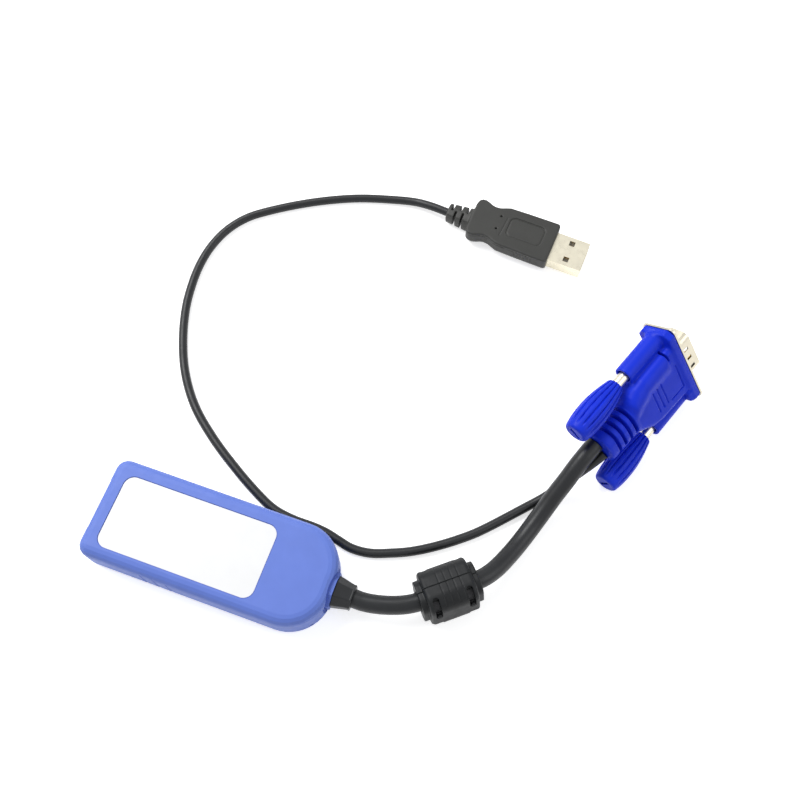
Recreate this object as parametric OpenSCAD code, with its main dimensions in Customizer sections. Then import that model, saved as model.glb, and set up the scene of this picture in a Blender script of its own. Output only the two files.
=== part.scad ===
// KVM server interface module, in millimetres, +Z up.
// The origin is under the middle of the housing, which lies flat with its cable end towards +X.

/* [Housing] */
// Length from the jack end to the flat of the nose
housing_length = 77; // [72:1:90]
// Width across the long sides
housing_width = 32; // [29:1:40]
// Wall of both shells
wall = 1.4; // [1.2:0.1:1.8]
// Height of the seam between the two shells
seam_height = 4.6; // [4:0.1:5.5]
// Corner radius at the nose, in plan
nose_radius = 13.2; // [10:0.1:14]
// Corner radius at the jack end, in plan
end_radius = 3.8; // [3.5:0.1:5]
// Rounding of the top and bottom edges
edge_radius = 3; // [2:0.1:3.2]
// Height that the lower shell's rim stands into the upper shell
rim_height = 1.2; // [0.8:0.1:1.6]
// How far the cable collar stands out of the nose
collar_reach = 0.5; // [0.3:0.1:1.5]
// Width of the eight sided cable collar, flat to flat
collar_width = 10.8; // [10.4:0.1:12]
// Width of the grip grooves in the long sides
grip_width = 0.9; // [0.6:0.1:1.2]
// Distance between the grip grooves
grip_pitch = 4.2; // [3:0.1:5]

/* [Label] */
// Length of the label
label_length = 50.6; // [40:0.1:52]
// Width of the label
label_width = 23.2; // [18:0.1:24]
// Corner radius of the label
label_radius = 3.3; // [2:0.1:5]
// Thickness of the label
label_thickness = 0.2; // [0.1:0.05:0.3]
// Depth of the recess that it lies in
label_recess = 0.45; // [0.35:0.05:0.6]

/* [Network jack] */
// Width of the jack
jack_width = 15.6; // [14.5:0.1:17]
// Height of the jack
jack_height = 12; // [11.8:0.1:13]
// Depth of the jack
jack_depth = 16; // [15:0.5:18]
// Width of the plug's opening
port_width = 11.8; // [11.6:0.1:12]
// Height of the plug's opening
port_height = 6.8; // [6.7:0.1:7]
// Depth of the plug's opening
port_depth = 12.5; // [12:0.5:13]
// Width of the latch channel
latch_width = 6.2; // [6:0.1:6.5]
// Distance between contacts
contact_pitch = 1.02; // [1:0.01:1.05]
// Width of one contact wire
contact_width = 0.46; // [0.35:0.01:0.5]

/* [Circuit board] */
// Thickness of the board
board_thickness = 1.6; // [1:0.1:1.8]
// Height of the posts that carry the board above the floor
post_height = 3; // [2.6:0.1:3.2]
// Diameter of the posts
post_diameter = 4; // [3.4:0.1:4.6]
// Diameter of the locating pins on the posts
pin_diameter = 1.8; // [1.4:0.1:2]
// Side of the video chip
chip_side = 10; // [8:0.5:11]
// Height of the chips
chip_height = 1.4; // [1:0.1:2]
// Diameter of the electrolytic capacitors
can_diameter = 5; // [4:0.1:5.4]
// Height of the electrolytic capacitors
can_height = 5.2; // [4:0.1:5.4]

/* [Video cable] */
// Diameter of the video cable
video_diameter = 5.8; // [5:0.1:6.2]
// Length of the strain relief outside the housing
relief_length = 5.85; // [5.8:0.01:5.9]
// Width of the strain relief at the housing, flat to flat
relief_base = 9.5; // [8.6:0.1:10.2]
// Width of the strain relief at its end, flat to flat
relief_end = 7.1; // [6.8:0.1:8]

/* [Ferrite clamp] */
// Length of the body between its end collars
ferrite_length = 15.4; // [14:0.1:18]
// Width across the body
ferrite_width = 14.8; // [14.4:0.1:16]
// Corner radius of the body's section
ferrite_radius = 5.4; // [4:0.1:6]
// Length of each end collar
ferrite_collar = 1.8; // [1:0.1:2.4]
// Width across the end collars
ferrite_collar_width = 11.1; // [10:0.1:12]
// Diameter of the ceramic core
core_diameter = 12.4; // [11:0.1:12.6]
// Width of the clip windows
window_width = 1.9; // [1.4:0.1:2.2]
// Length of the clip windows round the body
window_length = 7.4; // [6:0.1:8]

/* [Video plug] */
// Width of the plug's flange
flange_width = 30.8; // [30.6:0.1:32]
// Thickness of the flange across its narrow way
flange_height = 12.5; // [12.3:0.1:13.5]
// Depth of the plastic flange
flange_depth = 2.8; // [2.4:0.1:3.4]
// Thickness of the steel face plate
plate_thickness = 0.7; // [0.5:0.1:0.9]
// Distance between the two jackscrews
screw_spacing = 25; // [24.9:0.01:25.1]
// Diameter of the screw tubes
tube_diameter = 6.2; // [6:0.1:6.4]
// Diameter of the jackscrew's shaft
shaft_diameter = 3.6; // [3.2:0.1:3.8]
// Diameter of the jackscrew's threaded tip
tip_diameter = 2.8; // [2.6:0.05:2.85]
// How far the jackscrews slide
screw_travel = 3; // [2:0.1:3.2]
// Length of a thumb grip
knob_length = 21; // [18:0.5:23]
// Widest diameter of a thumb grip
knob_diameter = 9.3; // [8.6:0.1:9.4]
// Flutes round a thumb grip
knob_flutes = 12; // [8:1:14]
// Width of the boot where the cables leave
boot_width = 12.6; // [12.2:0.1:13]
// Thickness of the boot
boot_height = 11; // [10.8:0.1:11.4]
// Length of the D shaped shell in front of the plate
d_shell_length = 5.9; // [5:0.1:6.2]
// Width of the D shaped shell
d_shell_width = 16.4; // [16.3:0.1:16.8]
// Height of the D shaped shell
d_shell_height = 7.9; // [7.8:0.1:8.3]

/* [USB plug] */
// Diameter of the USB cable
usb_diameter = 3; // [2.6:0.1:3.4]
// Thickness of the grip
grip_thickness = 7.5; // [7.2:0.1:8.5]
// Width of the grip at the plug end
grip_front = 16.7; // [15.6:0.1:17.5]
// Width of the grip at its waist
grip_waist = 12.9; // [12.5:0.1:14]
// Width of the grip's rear bulge
grip_bulge = 15.6; // [14.5:0.1:16]
// Length of the steel shell in front of the grip
usb_shell_length = 12; // [11.75:0.05:12.2]
// Width of the steel shell
usb_shell_width = 12; // [11.9:0.05:12.1]
// Height of the steel shell
usb_shell_height = 4.5; // [4.4:0.05:4.6]
// Wall of the steel shell
usb_shell_wall = 0.3; // [0.25:0.05:0.4]

/* [Hidden] */
$fn = 48;

// One overrun for every cut, the gap between parts that slide or turn, and the gap between parts that sit still
cut = 1;
running_gap = 0.06;
seat_gap = 0.1;

// Colours
housing_blue = [0.36, 0.47, 0.80];
plug_blue = [0.12, 0.18, 0.75];
cable_black = [0.10, 0.10, 0.11];
steel = [0.78, 0.76, 0.70];

// Housing, worked out from its sizes
jack_end_x = -(housing_length + collar_reach) / 2;
nose_x = jack_end_x + housing_length;
collar_x = nose_x + collar_reach;
housing_height = jack_height + 2 * (wall + seat_gap);
end_centre_x = jack_end_x + end_radius;
end_centre_y = housing_width / 2 - end_radius;
nose_centre_x = nose_x - nose_radius;
nose_centre_y = housing_width / 2 - nose_radius;
rim_share = 0.5;
nose_steps = 12;
end_steps = 4;
edge_steps = 4;
cable_z = housing_height / 2;
collar_depth = 5;
collar_facets = 8;
collar_turn = 180 / collar_facets;
valley_radius = 1.3;
valley_stand = 0.55;
grip_depth = 0.3;
grip_start_share = 0.28;
grip_count = 3;
notch_size = 1.1;
notch_angle = 39;

// Label
label_start_share = 0.068;
label_recess_gap = 0.2;
label_x = jack_end_x + label_start_share * housing_length + label_length / 2;
label_y_share = -0.016;
label_y = label_y_share * housing_width;

// Jack
jack_setback = 0.5;
jack_x = jack_end_x + jack_setback;
jack_z = wall + seat_gap;
port_floor = 2.5;
port_z = jack_z + port_floor;
latch_height = 1.5;
latch_step_share = 0.52;
latch_step_height = 0.8;
contact_count = 8;
contact_slot_width = contact_width + 2 * running_gap;
contact_height = 0.35;
contact_front = 2.6;
contact_drop = 1.9;
contact_run_share = 0.78;
tail_length = 1.4;
jack_ear_width = 1.2;
jack_ear_height = 1.5;
jack_ear_length = 8;
jack_ear_start = 4;

// Board
board_gap = 0.4;
board_z = wall + post_height;
board_top = board_z + board_thickness;
board_half = housing_width / 2 - wall - board_gap;
board_start = jack_end_x + wall + board_gap;
board_end = nose_centre_x - board_gap;
board_long = board_end - board_start;
notch_end = jack_x + jack_depth + seat_gap;
post_places = [[board_start + post_diameter, 1], [board_start + post_diameter, -1],
               [board_end - post_diameter, 1], [board_end - post_diameter, -1]];
post_inset_share = 0.75;
post_y = board_half - post_diameter * post_inset_share;
press_gap = 0.3;

// Parts on the board, as shares of its length and of half its width
video_chip_share = [0.56, -0.1];
usb_chip_share = [0.42, 0.42];
usb_chip_side_share = 0.65;
driver_chip_share = [0.42, -0.5];
driver_chip_size = [5, 4];
crystal_share = [0.59, 0.62];
crystal_size = [11, 4.4, 3.4];
can_places_share = [[0.74, 0.55], [0.74, -0.55]];
ceramic_places_share = [[0.36, 0.05], [0.36, -0.12], [0.66, 0.3], [0.66, -0.5], [0.5, -0.75]];
ceramic_size = [2, 1.25, 1.1];
header_share = [0.88, 0];
header_size = [6.4, 17, 5];
header_wall = 0.9;
header_floor = 1.4;
header_pins = 7;
header_pitch = 2;
header_pin_size = 0.5;
plug_height = 6.6;
lead_foot = 0.5;
lead_pitch = 0.8;
lead_width = 0.3;
lead_thickness = 0.2;
lead_margin = 1.2;
chip_stand = 0.15;

// Strain relief
neck_diameter = 7.2;
relief_flange_width = 8.2;
relief_flange_depth = 1.4;
inner_nose_x = nose_x - wall;
wire_diameter = 0.9;
wire_spread_share = 0.62;
wire_bow_share = 0.17;

// Where the video cable runs: out of the relief, through the ferrite, over the table and into the boot
video_route = [
  [44.6, 0, 7.5], [47.5, 0, 7.5], [50.6, 0.4, 7.6], [54.4, 1.3, 7.7], [58.4, 2.7, 7.8], [61.4, 4.2, 7.8],
  [64, 6, 7.8], [70.7, 11.5, 7.8], [77, 16.7, 7.8], [80, 19.8, 7.2], [82.4, 23.6, 6], [84.9, 29.2, 4.3],
  [87.1, 35, 3.2], [89.1, 40.8, 3.5], [91, 46.4, 5.2], [92.8, 51.6, 7.7], [94.7, 56.4, 10.4],
  [96.2, 60.6, 12.6], [97.7, 64.4, 14.2], [99.6, 69, 15]
];
// Where the USB cable runs: out of its plug, round behind the housing, under the video cable and into the boot
usb_route = [
  [27, 142.7, 3.75], [20.5, 143.6, 3.2], [14, 144, 2.2], [5.5, 142.5, 1.6], [-5.7, 139.2, 1.5],
  [-15.9, 134.7, 1.5], [-25.6, 129.3, 1.5], [-35.1, 122.9, 1.5], [-41.5, 117.5, 1.5], [-46.2, 110.5, 1.5],
  [-48.8, 102.5, 1.5], [-49.6, 94.5, 1.5], [-49, 86, 1.5], [-47, 76, 1.5], [-42.8, 64.5, 1.5],
  [-36.8, 53.2, 1.5], [-28.7, 43.2, 1.5], [-18.4, 34.8, 1.5], [-7, 27.5, 1.5], [3, 22, 1.5],
  [10, 19, 1.5], [17, 17.9, 1.5], [24, 17.8, 1.5], [28.5, 17.4, 1.5], [32.5, 16.5, 1.5],
  [37.8, 15.4, 1.5], [43.8, 15.9, 1.5], [49.7, 18, 1.5], [55.5, 20.6, 1.5], [61.2, 24, 1.5],
  [67.6, 28.6, 1.5], [74.1, 34.2, 1.5], [85.5, 46.5, 1.6], [89.7, 51, 2.2], [92.6, 54.5, 3.4],
  [95.3, 57.9, 5.3], [98, 61, 7.5], [100.4, 63.8, 9.8], [101.9, 65.6, 11.6], [103.4, 67.6, 12.9]
];
cable_sides = 8;

// Ferrite: where it sits on the cable, and how it is turned about the cable
ferrite_place = [70.7, 11.5, 7.8];
ferrite_heading = 39.5;
ferrite_roll = 14.5;
core_gap = 0.1;
core_bore_gap = 0.35;
core_length_share = 0.9;
window_place_share = 0.345;
window_turn = 48;
clip_length = 1.5;
groove_count = 4;
groove_pitch = 2.1;
groove_width = 0.5;
groove_depth = 0.25;
groove_shift = 0.7;
hook_length = 3.6;
hook_depth = 0.9;
ferrite_bore = video_diameter + 2 * core_bore_gap;

// Video plug: its place, with its own x along the flange, y across it and z out of its face
plug_place = [115.9, 105.6, 15.9];
plug_turn = [-38, -2.3, 68.5];
plug_tip = [0, 90, 0];
flange_corner = 1.9;
flange_back = -plate_thickness - flange_depth;
tube_back = -20;
tube_front = flange_back + flange_depth / 2;
screw_hole = shaft_diameter + 2 * running_gap;
tip_hole = tip_diameter + 2 * running_gap;
tube_wall = 0.7;
chamber_diameter = tube_diameter - 2 * tube_wall;
chamber_back = -10;
retainer_thickness = 0.7;
retainer_diameter = chamber_diameter - 2 * running_gap;
groove_diameter = 2.4;
retainer_bore = groove_diameter + 2 * running_gap;
retainer_start = chamber_back + running_gap;
tip_reach = 0.3;
thread_start = retainer_start + retainer_thickness + running_gap;
knob_gap = 0.8;
knob_front = tube_back - screw_travel - knob_gap;
knob_back = knob_front - knob_length;
shaft_end = 2.5;
shaft_back = knob_back + shaft_end;
knob_front_diameter = 5.2;
knob_rear_diameter = 7.6;
knob_nose = 0.3;
knob_nose_diameter = 2.4;
knob_belly_share = 0.62;
flute_depth = 0.5;
flute_fade_share = 0.12;
flute_start_share = 0.3;
// Points of one flute: share of the way round it, and share of its depth
flute_points_share = [[0, 0], [0.36, 0], [0.5, 1], [0.64, 0]];
knob_stations_share = [0, 0.05, 0.16, 0.3, 0.46, 0.62, 0.76, 0.88, 0.96, 1];
driver_slot_width = 1.2;
driver_slot_depth = 1.4;
d_wall = 0.4;
d_radius = 2.4;
d_slant = 10;
d_steps = 8;
d_inner_gap = 0.1;
d_seat_depth = 4.4;
d_seat_width = 19.2;
d_seat_height = 10.4;
insulator_front = 0.8;
pin_pitch = 2.29;
pin_row = 1.98;
pin_rows = 3;
pin_columns = 5;
pin_thickness = 0.76;
pin_front = 5.2;
pin_back_share = 0.8;
dimple_width = 1;
dimple_length = 2.4;
dimple_places_share = [-0.17, 0.05, 0.27];
dimple_front_share = 0.45;
boot_back = -40;
boot_front = -27;
boot_rings = 5;
boot_slot = 1.25;
boot_core_share = 0.66;
boot_taper_share = 0.93;
boot_bridge = 3.4;
boot_stagger = 1.1;
// Stations of the hood from its flange to its boot: share of the way back, low and high side and half
// thickness, each a share of the flange's width or height, and corner radius as a share of the half thickness
hood_stations_share = [
  [-0.06, -0.335, 0.325, 0.455, 0.3], [0.1, -0.33, 0.315, 0.44, 0.34], [0.35, -0.328, 0.305, 0.44, 0.36],
  [0.6, -0.325, 0.3, 0.44, 0.4], [0.76, -0.31, 0.27, 0.44, 0.46], [0.88, -0.27, 0.225, 0.435, 0.6],
  [0.96, -0.225, 0.205, 0.435, 0.8], [1, -0.2, 0.2, 0.44, 0.95]
];
corner_steps = 4;

// USB plug: its place, with its own x out of its face and z up from the table
usb_place = [67, 140.3, 0];
usb_heading = -3.5;
grip_length = 31;
relief_span = 9;
relief_start_width = 8.8;
relief_tip_width = 6.7;
relief_segments = 3;
relief_notch = 1.1;
relief_core = 4.4;
relief_height_share = 0.8;
grip_edge = 1.5;
// Outline of the grip from its rear to its face: share of its length, then how much of the front width, of
// the bulge's width and of the waist's width its own width takes
grip_outline_share = [
  [0, 0, 0.66, 0], [0.02, 0, 0.9, 0], [0.06, 0, 0.985, 0], [0.12, 0, 1, 0], [0.18, 0, 0.6, 0.4],
  [0.24, 0, 0.15, 0.85], [0.3, 0, 0, 1], [0.36, 0.2, 0, 0.8], [0.42, 0.6, 0, 0.38], [0.47, 0.95, 0, 0],
  [0.6, 0.97, 0, 0], [0.8, 0.99, 0, 0], [0.97, 1, 0, 0], [1, 0.98, 0, 0]
];
usb_shell_inside = 7;
usb_window = 2;
usb_window_x = 6;
usb_window_y = 3.45;
tongue_height = 1.9;
tongue_short = 0.6;
usb_contact_width = 1;
usb_contact_height = 0.15;
usb_contact_places = [-3.5, -1, 1, 3.5];
usb_contact_length_share = 0.75;

// Flat shapes and lofts that several parts share

// Rectangle with round corners, about the origin
module rounded_rect(length, width, radius) {
  square([length - 2 * radius, width], center = true);
  square([length, width - 2 * radius], center = true);
  for (sx = [-1, 1], sy = [-1, 1])
    translate([sx * (length / 2 - radius), sy * (width / 2 - radius)]) circle(radius);
}

// Points of an arc about a centre
function arc(centre, radius, from, to, steps) =
  [for (i = [0 : steps]) let (angle = from + (to - from) * i / steps)
    centre + radius * [cos(angle), sin(angle)]];

// Solid through a list of rings with the same number of points, closed at both ends
module loft(rings) {
  n = len(rings[0]);
  last = len(rings) - 1;
  points = [for (ring = rings) each ring];
  skins = [for (r = [0 : last - 1], i = [0 : n - 1])
    let (a = r * n + i, b = r * n + (i + 1) % n)
    each [[a, b + n, b], [a, a + n, b + n]]];
  polyhedron(points, concat([[for (i = [0 : n - 1]) i]], skins, [[for (i = [n - 1 : -1 : 0]) last * n + i]]));
}

// Ring of a tube: a regular polygon about a point, square to a direction
function unit(v) = v / norm(v);
function ring_at(point, along, radius, sides) =
  let (a = unit(along), side = unit(cross([0, 0, 1], a)), up = cross(a, side), turn = 180 / sides)
  [for (i = [0 : sides - 1])
    let (angle = turn + i * 2 * turn) point + radius * (cos(angle) * side + sin(angle) * up)];

// Tube along a route, its first and last rings square to the given directions
module tube_along(route, radius, sides, first, final) {
  last = len(route) - 1;
  loft([for (i = [0 : last])
    let (along = i == 0 ? first : i == last ? final
      : unit(route[i] - route[i - 1]) + unit(route[i + 1] - route[i]))
    ring_at(route[i], along, radius, sides)]);
}

// Ring of a rounded box section between two sides, with its corners in even steps
function box_ring(low, high, half, radius, z) = [
  for (corner = [0 : 3], s = [0 : corner_steps])
    let (sx = corner == 0 || corner == 3 ? 1 : -1, sy = corner < 2 ? 1 : -1,
         centre = [sx > 0 ? high - radius : low + radius, sy * (half - radius)],
         angle = 90 * (corner + s / corner_steps))
    [centre.x + radius * cos(angle), centre.y + radius * sin(angle), z]
];

// Housing

// Ring of the housing's plan outline at a height, drawn in by inset
function case_ring(inset, z) =
  [for (p = concat(
      arc([nose_centre_x, nose_centre_y], nose_radius - inset, 0, 90, nose_steps),
      arc([end_centre_x, end_centre_y], end_radius - inset, 90, 180, end_steps),
      arc([end_centre_x, -end_centre_y], end_radius - inset, 180, 270, end_steps),
      arc([nose_centre_x, -nose_centre_y], nose_radius - inset, 270, 360, nose_steps)))
    [p.x, p.y, z]];

// Plan outline of the housing, drawn in by inset
module case_outline(inset) {
  polygon([for (p = case_ring(inset, 0)) [p.x, p.y]]);
}

// The whole housing with rounded edges, drawn in by inset on every side
module case_solid(inset) {
  edge = edge_radius - inset;
  loft([for (top = [false, true], s = [0 : edge_steps])
    let (turn = 90 * (top ? edge_steps - s : s) / edge_steps, rise = inset + edge * (1 - cos(turn)))
    case_ring(inset + edge * (1 - sin(turn)), top ? housing_height - rise : rise)]);
}

// Eight sided bar along the cable's axis, from one x to another
module collar_bar(start, end, width) {
  translate([start, 0, cable_z]) rotate([0, 90, 0]) rotate([0, 0, collar_turn])
    cylinder(h = end - start, d = width / cos(collar_turn), $fn = collar_facets);
}

// Round bar along the cable's axis
module axis_bar(start, end, diameter) {
  translate([start, 0, cable_z]) rotate([0, 90, 0]) cylinder(h = end - start, d = diameter);
}

// Hollow housing with its collar, window and grooves, before it is cut at the seam
module housing_body() {
  difference() {
    union() {
      difference() {
        case_solid(0);
        translate([nose_x, 0, cable_z]) rotate([0, 90, 0]) rotate_extrude()
          translate([collar_width / 2 + valley_stand, 0]) circle(valley_radius);
      }
      collar_bar(nose_x - collar_depth, collar_x, collar_width);
    }
    case_solid(wall);
    axis_bar(inner_nose_x - cut, collar_x + cut, neck_diameter + 2 * seat_gap);
    jack_window();
    for (side = [-1, 1], i = [0 : grip_count - 1])
      translate([jack_end_x + grip_start_share * housing_length + i * grip_pitch,
                 side * (housing_width / 2 + grip_width / 2 - grip_depth), -cut])
        cylinder(h = housing_height + 2 * cut, d = grip_width);
    for (side = [-1, 1])
      translate([nose_centre_x, side * nose_centre_y, 0]) rotate([0, 0, side * notch_angle])
        translate([nose_radius, 0, seam_height]) cube([notch_size, notch_size, notch_size], center = true);
  }
}

// Space of the window that the jack looks out of
module jack_window() {
  translate([jack_end_x - cut, -jack_width / 2 - seat_gap, wall])
    cube([cut + wall + cut, jack_width + 2 * seat_gap, jack_height + 2 * seat_gap]);
}

// Everything above a height
module above(height) {
  translate([-housing_length, -housing_width, height])
    cube([2 * housing_length, 2 * housing_width, 2 * housing_height]);
}

module housing_top() {
  color(housing_blue) {
    difference() {
      intersection() {
        housing_body();
        above(seam_height);
      }
      translate([0, 0, seam_height - cut]) linear_extrude(cut + rim_height + seat_gap)
        case_outline(rim_inset());
      translate([label_x, label_y, housing_height - label_recess]) linear_extrude(label_recess + cut)
        rounded_rect(label_length + 2 * label_recess_gap, label_width + 2 * label_recess_gap,
                     label_radius + label_recess_gap);
    }
    for (place = post_places)
      translate([place.x, place.y * post_y, board_top + press_gap]) difference() {
        cylinder(h = housing_height - wall - board_top - press_gap, d = post_diameter);
        translate([0, 0, -cut]) cylinder(h = cut + board_thickness, d = pin_diameter + 2 * press_gap);
      }
  }
}

// How far in the upper shell's lower rim is cut back for the lower shell's rim
function rim_inset() = wall * rim_share;

module housing_bottom() {
  color(housing_blue) {
    difference() {
      housing_body();
      above(seam_height);
    }
    difference() {
      translate([0, 0, seam_height - rim_height]) linear_extrude(2 * rim_height) difference() {
        case_outline(rim_inset() + seat_gap);
        case_outline(wall - running_gap);
      }
      jack_window();
      axis_bar(inner_nose_x - cut, collar_x + cut, collar_width);
    }
    for (place = post_places) translate([place.x, place.y * post_y, wall]) {
      cylinder(h = post_height, d = post_diameter);
      cylinder(h = post_height + board_thickness, d = pin_diameter);
    }
  }
}

module label_plate() {
  color([0.95, 0.95, 0.95]) translate([label_x, label_y, housing_height - label_recess])
    linear_extrude(label_thickness) rounded_rect(label_length, label_width, label_radius);
}

module strain_relief() {
  color(cable_black) {
    translate([collar_x, 0, cable_z]) rotate([0, 90, 0]) rotate([0, 0, collar_turn])
      cylinder(h = relief_length, d1 = relief_base / cos(collar_turn), d2 = relief_end / cos(collar_turn),
               $fn = collar_facets);
    axis_bar(inner_nose_x - relief_flange_depth, collar_x, neck_diameter);
    translate([inner_nose_x - relief_flange_depth, -relief_flange_width / 2, cable_z - relief_flange_width / 2])
      cube([relief_flange_depth - seat_gap, relief_flange_width, relief_flange_width]);
  }
}

// Network jack

module rj45_jack() {
  color([0.12, 0.12, 0.13]) {
    difference() {
      translate([jack_x, -jack_width / 2, jack_z]) cube([jack_depth, jack_width, jack_height]);
      translate([jack_x - cut, -port_width / 2, port_z]) cube([port_depth + cut, port_width, port_height]);
      translate([jack_x - cut, -latch_width / 2, port_z - latch_height])
        cube([port_depth + cut, latch_width, latch_height + cut]);
      translate([jack_x - cut, -latch_width * latch_step_share / 2, port_z - latch_height - latch_step_height])
        cube([port_depth + cut, latch_width * latch_step_share, latch_step_height + cut]);
      for (i = [0 : contact_count - 1])
        translate([jack_x + contact_front, contact_y(i) - contact_slot_width / 2, port_z + port_height - cut])
          cube([jack_depth, contact_slot_width, cut + contact_height + running_gap]);
    }
    for (side = [0, 1]) mirror([0, side, 0])
      translate([jack_x + jack_ear_start, jack_width / 2, board_top])
        cube([jack_ear_length, jack_ear_width, jack_ear_height]);
  }
}

// Place of a contact across the jack
function contact_y(i) = (i - (contact_count - 1) / 2) * contact_pitch;

// Side view of a contact wire: from its tail behind the jack, over its roof, and down into the opening
module contact_profile() {
  roof = port_z + port_height;
  front = jack_x + contact_front + running_gap;
  rear = jack_x + jack_depth + running_gap;
  inner = front + port_depth * contact_run_share;
  tail = board_top - tail_length;
  polygon([
    [front, roof + contact_height], [rear + contact_height, roof + contact_height],
    [rear + contact_height, tail], [rear, tail], [rear, roof], [front + 2 * contact_height, roof],
    [inner, roof - contact_drop], [inner, roof - contact_drop - contact_height], [front, roof]
  ]);
}

module rj45_contacts() {
  color([0.85, 0.7, 0.35]) for (i = [0 : contact_count - 1])
    translate([0, contact_y(i) + contact_width / 2, 0]) rotate([90, 0, 0])
      linear_extrude(contact_width) contact_profile();
}

// Circuit board and what it carries

// Place on the board's top from shares of its length and of half its width
function board_place(share) = [board_start + share.x * board_long, share.y * board_half, board_top];

module circuit_board() {
  color([0.1, 0.4, 0.25]) difference() {
    translate([board_start, -board_half, board_z]) cube([board_long, 2 * board_half, board_thickness]);
    translate([board_start - cut, -jack_width / 2 - seat_gap, board_z - cut])
      cube([notch_end - board_start + cut, jack_width + 2 * seat_gap, board_thickness + 2 * cut]);
    for (place = post_places) translate([place.x, place.y * post_y, board_z - cut])
      cylinder(h = board_thickness + 2 * cut, d = pin_diameter + 2 * seat_gap);
    for (i = [0 : contact_count - 1])
      translate([notch_end - cut, contact_y(i) - contact_slot_width / 2, board_z - cut])
        cube([cut + contact_height + 2 * running_gap, contact_slot_width, board_thickness + 2 * cut]);
  }
}

// Chip with gull wing leads on the sides asked for
module chip(size, four_sides) {
  translate([0, 0, chip_stand + chip_height / 2]) cube([size.x, size.y, chip_height], center = true);
  side_leads(size.x, size.y);
  if (four_sides) rotate([0, 0, 90]) side_leads(size.y, size.x);
}

// Two facing rows of leads along sides of the given length, the given distance apart
module side_leads(length, apart) {
  count = floor((length - 2 * lead_margin) / lead_pitch) + 1;
  for (side = [0, 1], i = [0 : count - 1]) mirror([0, side, 0])
    translate([(i - (count - 1) / 2) * lead_pitch - lead_width / 2, apart / 2, 0])
      rotate([90, 0, 90]) linear_extrude(lead_width) polygon([
        [0, chip_stand + chip_height / 2], [0, chip_stand + chip_height / 2 + lead_thickness],
        [lead_foot, chip_stand + chip_height / 2 + lead_thickness], [lead_foot, lead_thickness],
        [2 * lead_foot, lead_thickness], [2 * lead_foot, 0],
        [lead_foot - lead_thickness, 0], [lead_foot - lead_thickness, chip_stand + chip_height / 2]
      ]);
}

module video_chip() {
  color([0.15, 0.15, 0.16]) translate(board_place(video_chip_share)) chip([chip_side, chip_side], true);
}

module usb_chip() {
  color([0.15, 0.15, 0.16]) translate(board_place(usb_chip_share))
    chip([chip_side, chip_side] * usb_chip_side_share, false);
}

module driver_chip() {
  color([0.15, 0.15, 0.16]) translate(board_place(driver_chip_share)) chip(driver_chip_size, false);
}

module crystal() {
  color(steel) translate(board_place(crystal_share)) {
    linear_extrude(lead_foot) rounded_rect(crystal_size.x, crystal_size.y, crystal_size.y / 2 - running_gap);
    linear_extrude(crystal_size.z)
      rounded_rect(crystal_size.x - lead_foot, crystal_size.y - lead_foot,
                   (crystal_size.y - lead_foot) / 2 - running_gap);
  }
}

module capacitors() {
  for (share = can_places_share) translate(board_place(share)) {
    color([0.2, 0.2, 0.2]) linear_extrude(lead_foot)
      rounded_rect(can_diameter + lead_foot, can_diameter + lead_foot, lead_foot);
    color(steel) cylinder(h = can_height, d = can_diameter);
  }
  color([0.7, 0.6, 0.45]) for (share = ceramic_places_share) translate(board_place(share))
    linear_extrude(ceramic_size.z) square([ceramic_size.x, ceramic_size.y], center = true);
}

module wire_header() {
  color([0.9, 0.88, 0.8]) translate(board_place(header_share)) {
    difference() {
      translate([0, 0, header_size.z / 2]) cube(header_size, center = true);
      translate([0, 0, header_floor + header_size.z / 2])
        cube([header_size.x - 2 * header_wall, header_size.y - 2 * header_wall, header_size.z], center = true);
    }
    header_rows(header_size.z - header_floor, header_pin_size, 0);
  }
}

// Square posts in one row, or the sockets that they stand in
module header_rows(height, size, base) {
  for (i = [0 : header_pins - 1])
    translate([0, (i - (header_pins - 1) / 2) * header_pitch, base + height / 2])
      cube([size, size, height], center = true);
}

module wire_plug() {
  color([0.92, 0.92, 0.9]) translate(board_place(header_share)) difference() {
    translate([0, 0, header_floor + running_gap + (plug_height - header_floor - running_gap) / 2])
      cube([header_size.x - 2 * header_wall - 2 * seat_gap, header_size.y - 2 * header_wall - 2 * seat_gap,
            plug_height - header_floor - running_gap], center = true);
    header_rows(header_size.z - header_floor + seat_gap + cut, header_pin_size + 2 * running_gap, -cut);
  }
}

// Wires from the cable's end to the plug on the board, side by side
module lead_wires() {
  plug_end = board_place(header_share)
    + [header_size.x / 2 - header_wall - seat_gap, 0, plug_height - wire_diameter];
  start_x = inner_nose_x - relief_flange_depth;
  for (i = [0 : header_pins - 1]) {
    spread = i - (header_pins - 1) / 2;
    height = i % 2 == 0 ? wire_diameter : -wire_diameter;
    start = [start_x, spread * wire_diameter * wire_spread_share, cable_z + height * wire_spread_share];
    end = [plug_end.x, spread * header_pitch, plug_end.z];
    run = end - start;
    color([[0.8, 0.1, 0.1], [0.1, 0.6, 0.2], [0.1, 0.2, 0.8], [0.9, 0.9, 0.9]][i % 4])
      tube_along([start, start + [-wire_diameter, 0, 0],
                  start + run / 2 + [0, run.y * wire_bow_share, wire_diameter / 2],
                  end + [wire_diameter, 0, 0], end],
                 wire_diameter / 2, cable_sides, [-1, 0, 0], [-1, 0, 0]);
  }
}

// Cables

// Direction in which the plug points
function plug_axis() =
  [cos(plug_turn.z) * cos(plug_turn.y), sin(plug_turn.z) * cos(plug_turn.y), -sin(plug_turn.y)];

module video_cable() {
  color(cable_black)
    tube_along(video_route, video_diameter / 2, cable_sides, [1, 0, 0], plug_axis());
}

module usb_cable() {
  color(cable_black)
    tube_along(usb_route, usb_diameter / 2, cable_sides, [-cos(usb_heading), -sin(usb_heading), 0],
               plug_axis());
}

// Ferrite clamp, in its own frame: x along the cable, y out of the far half, z towards the hinge

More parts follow.
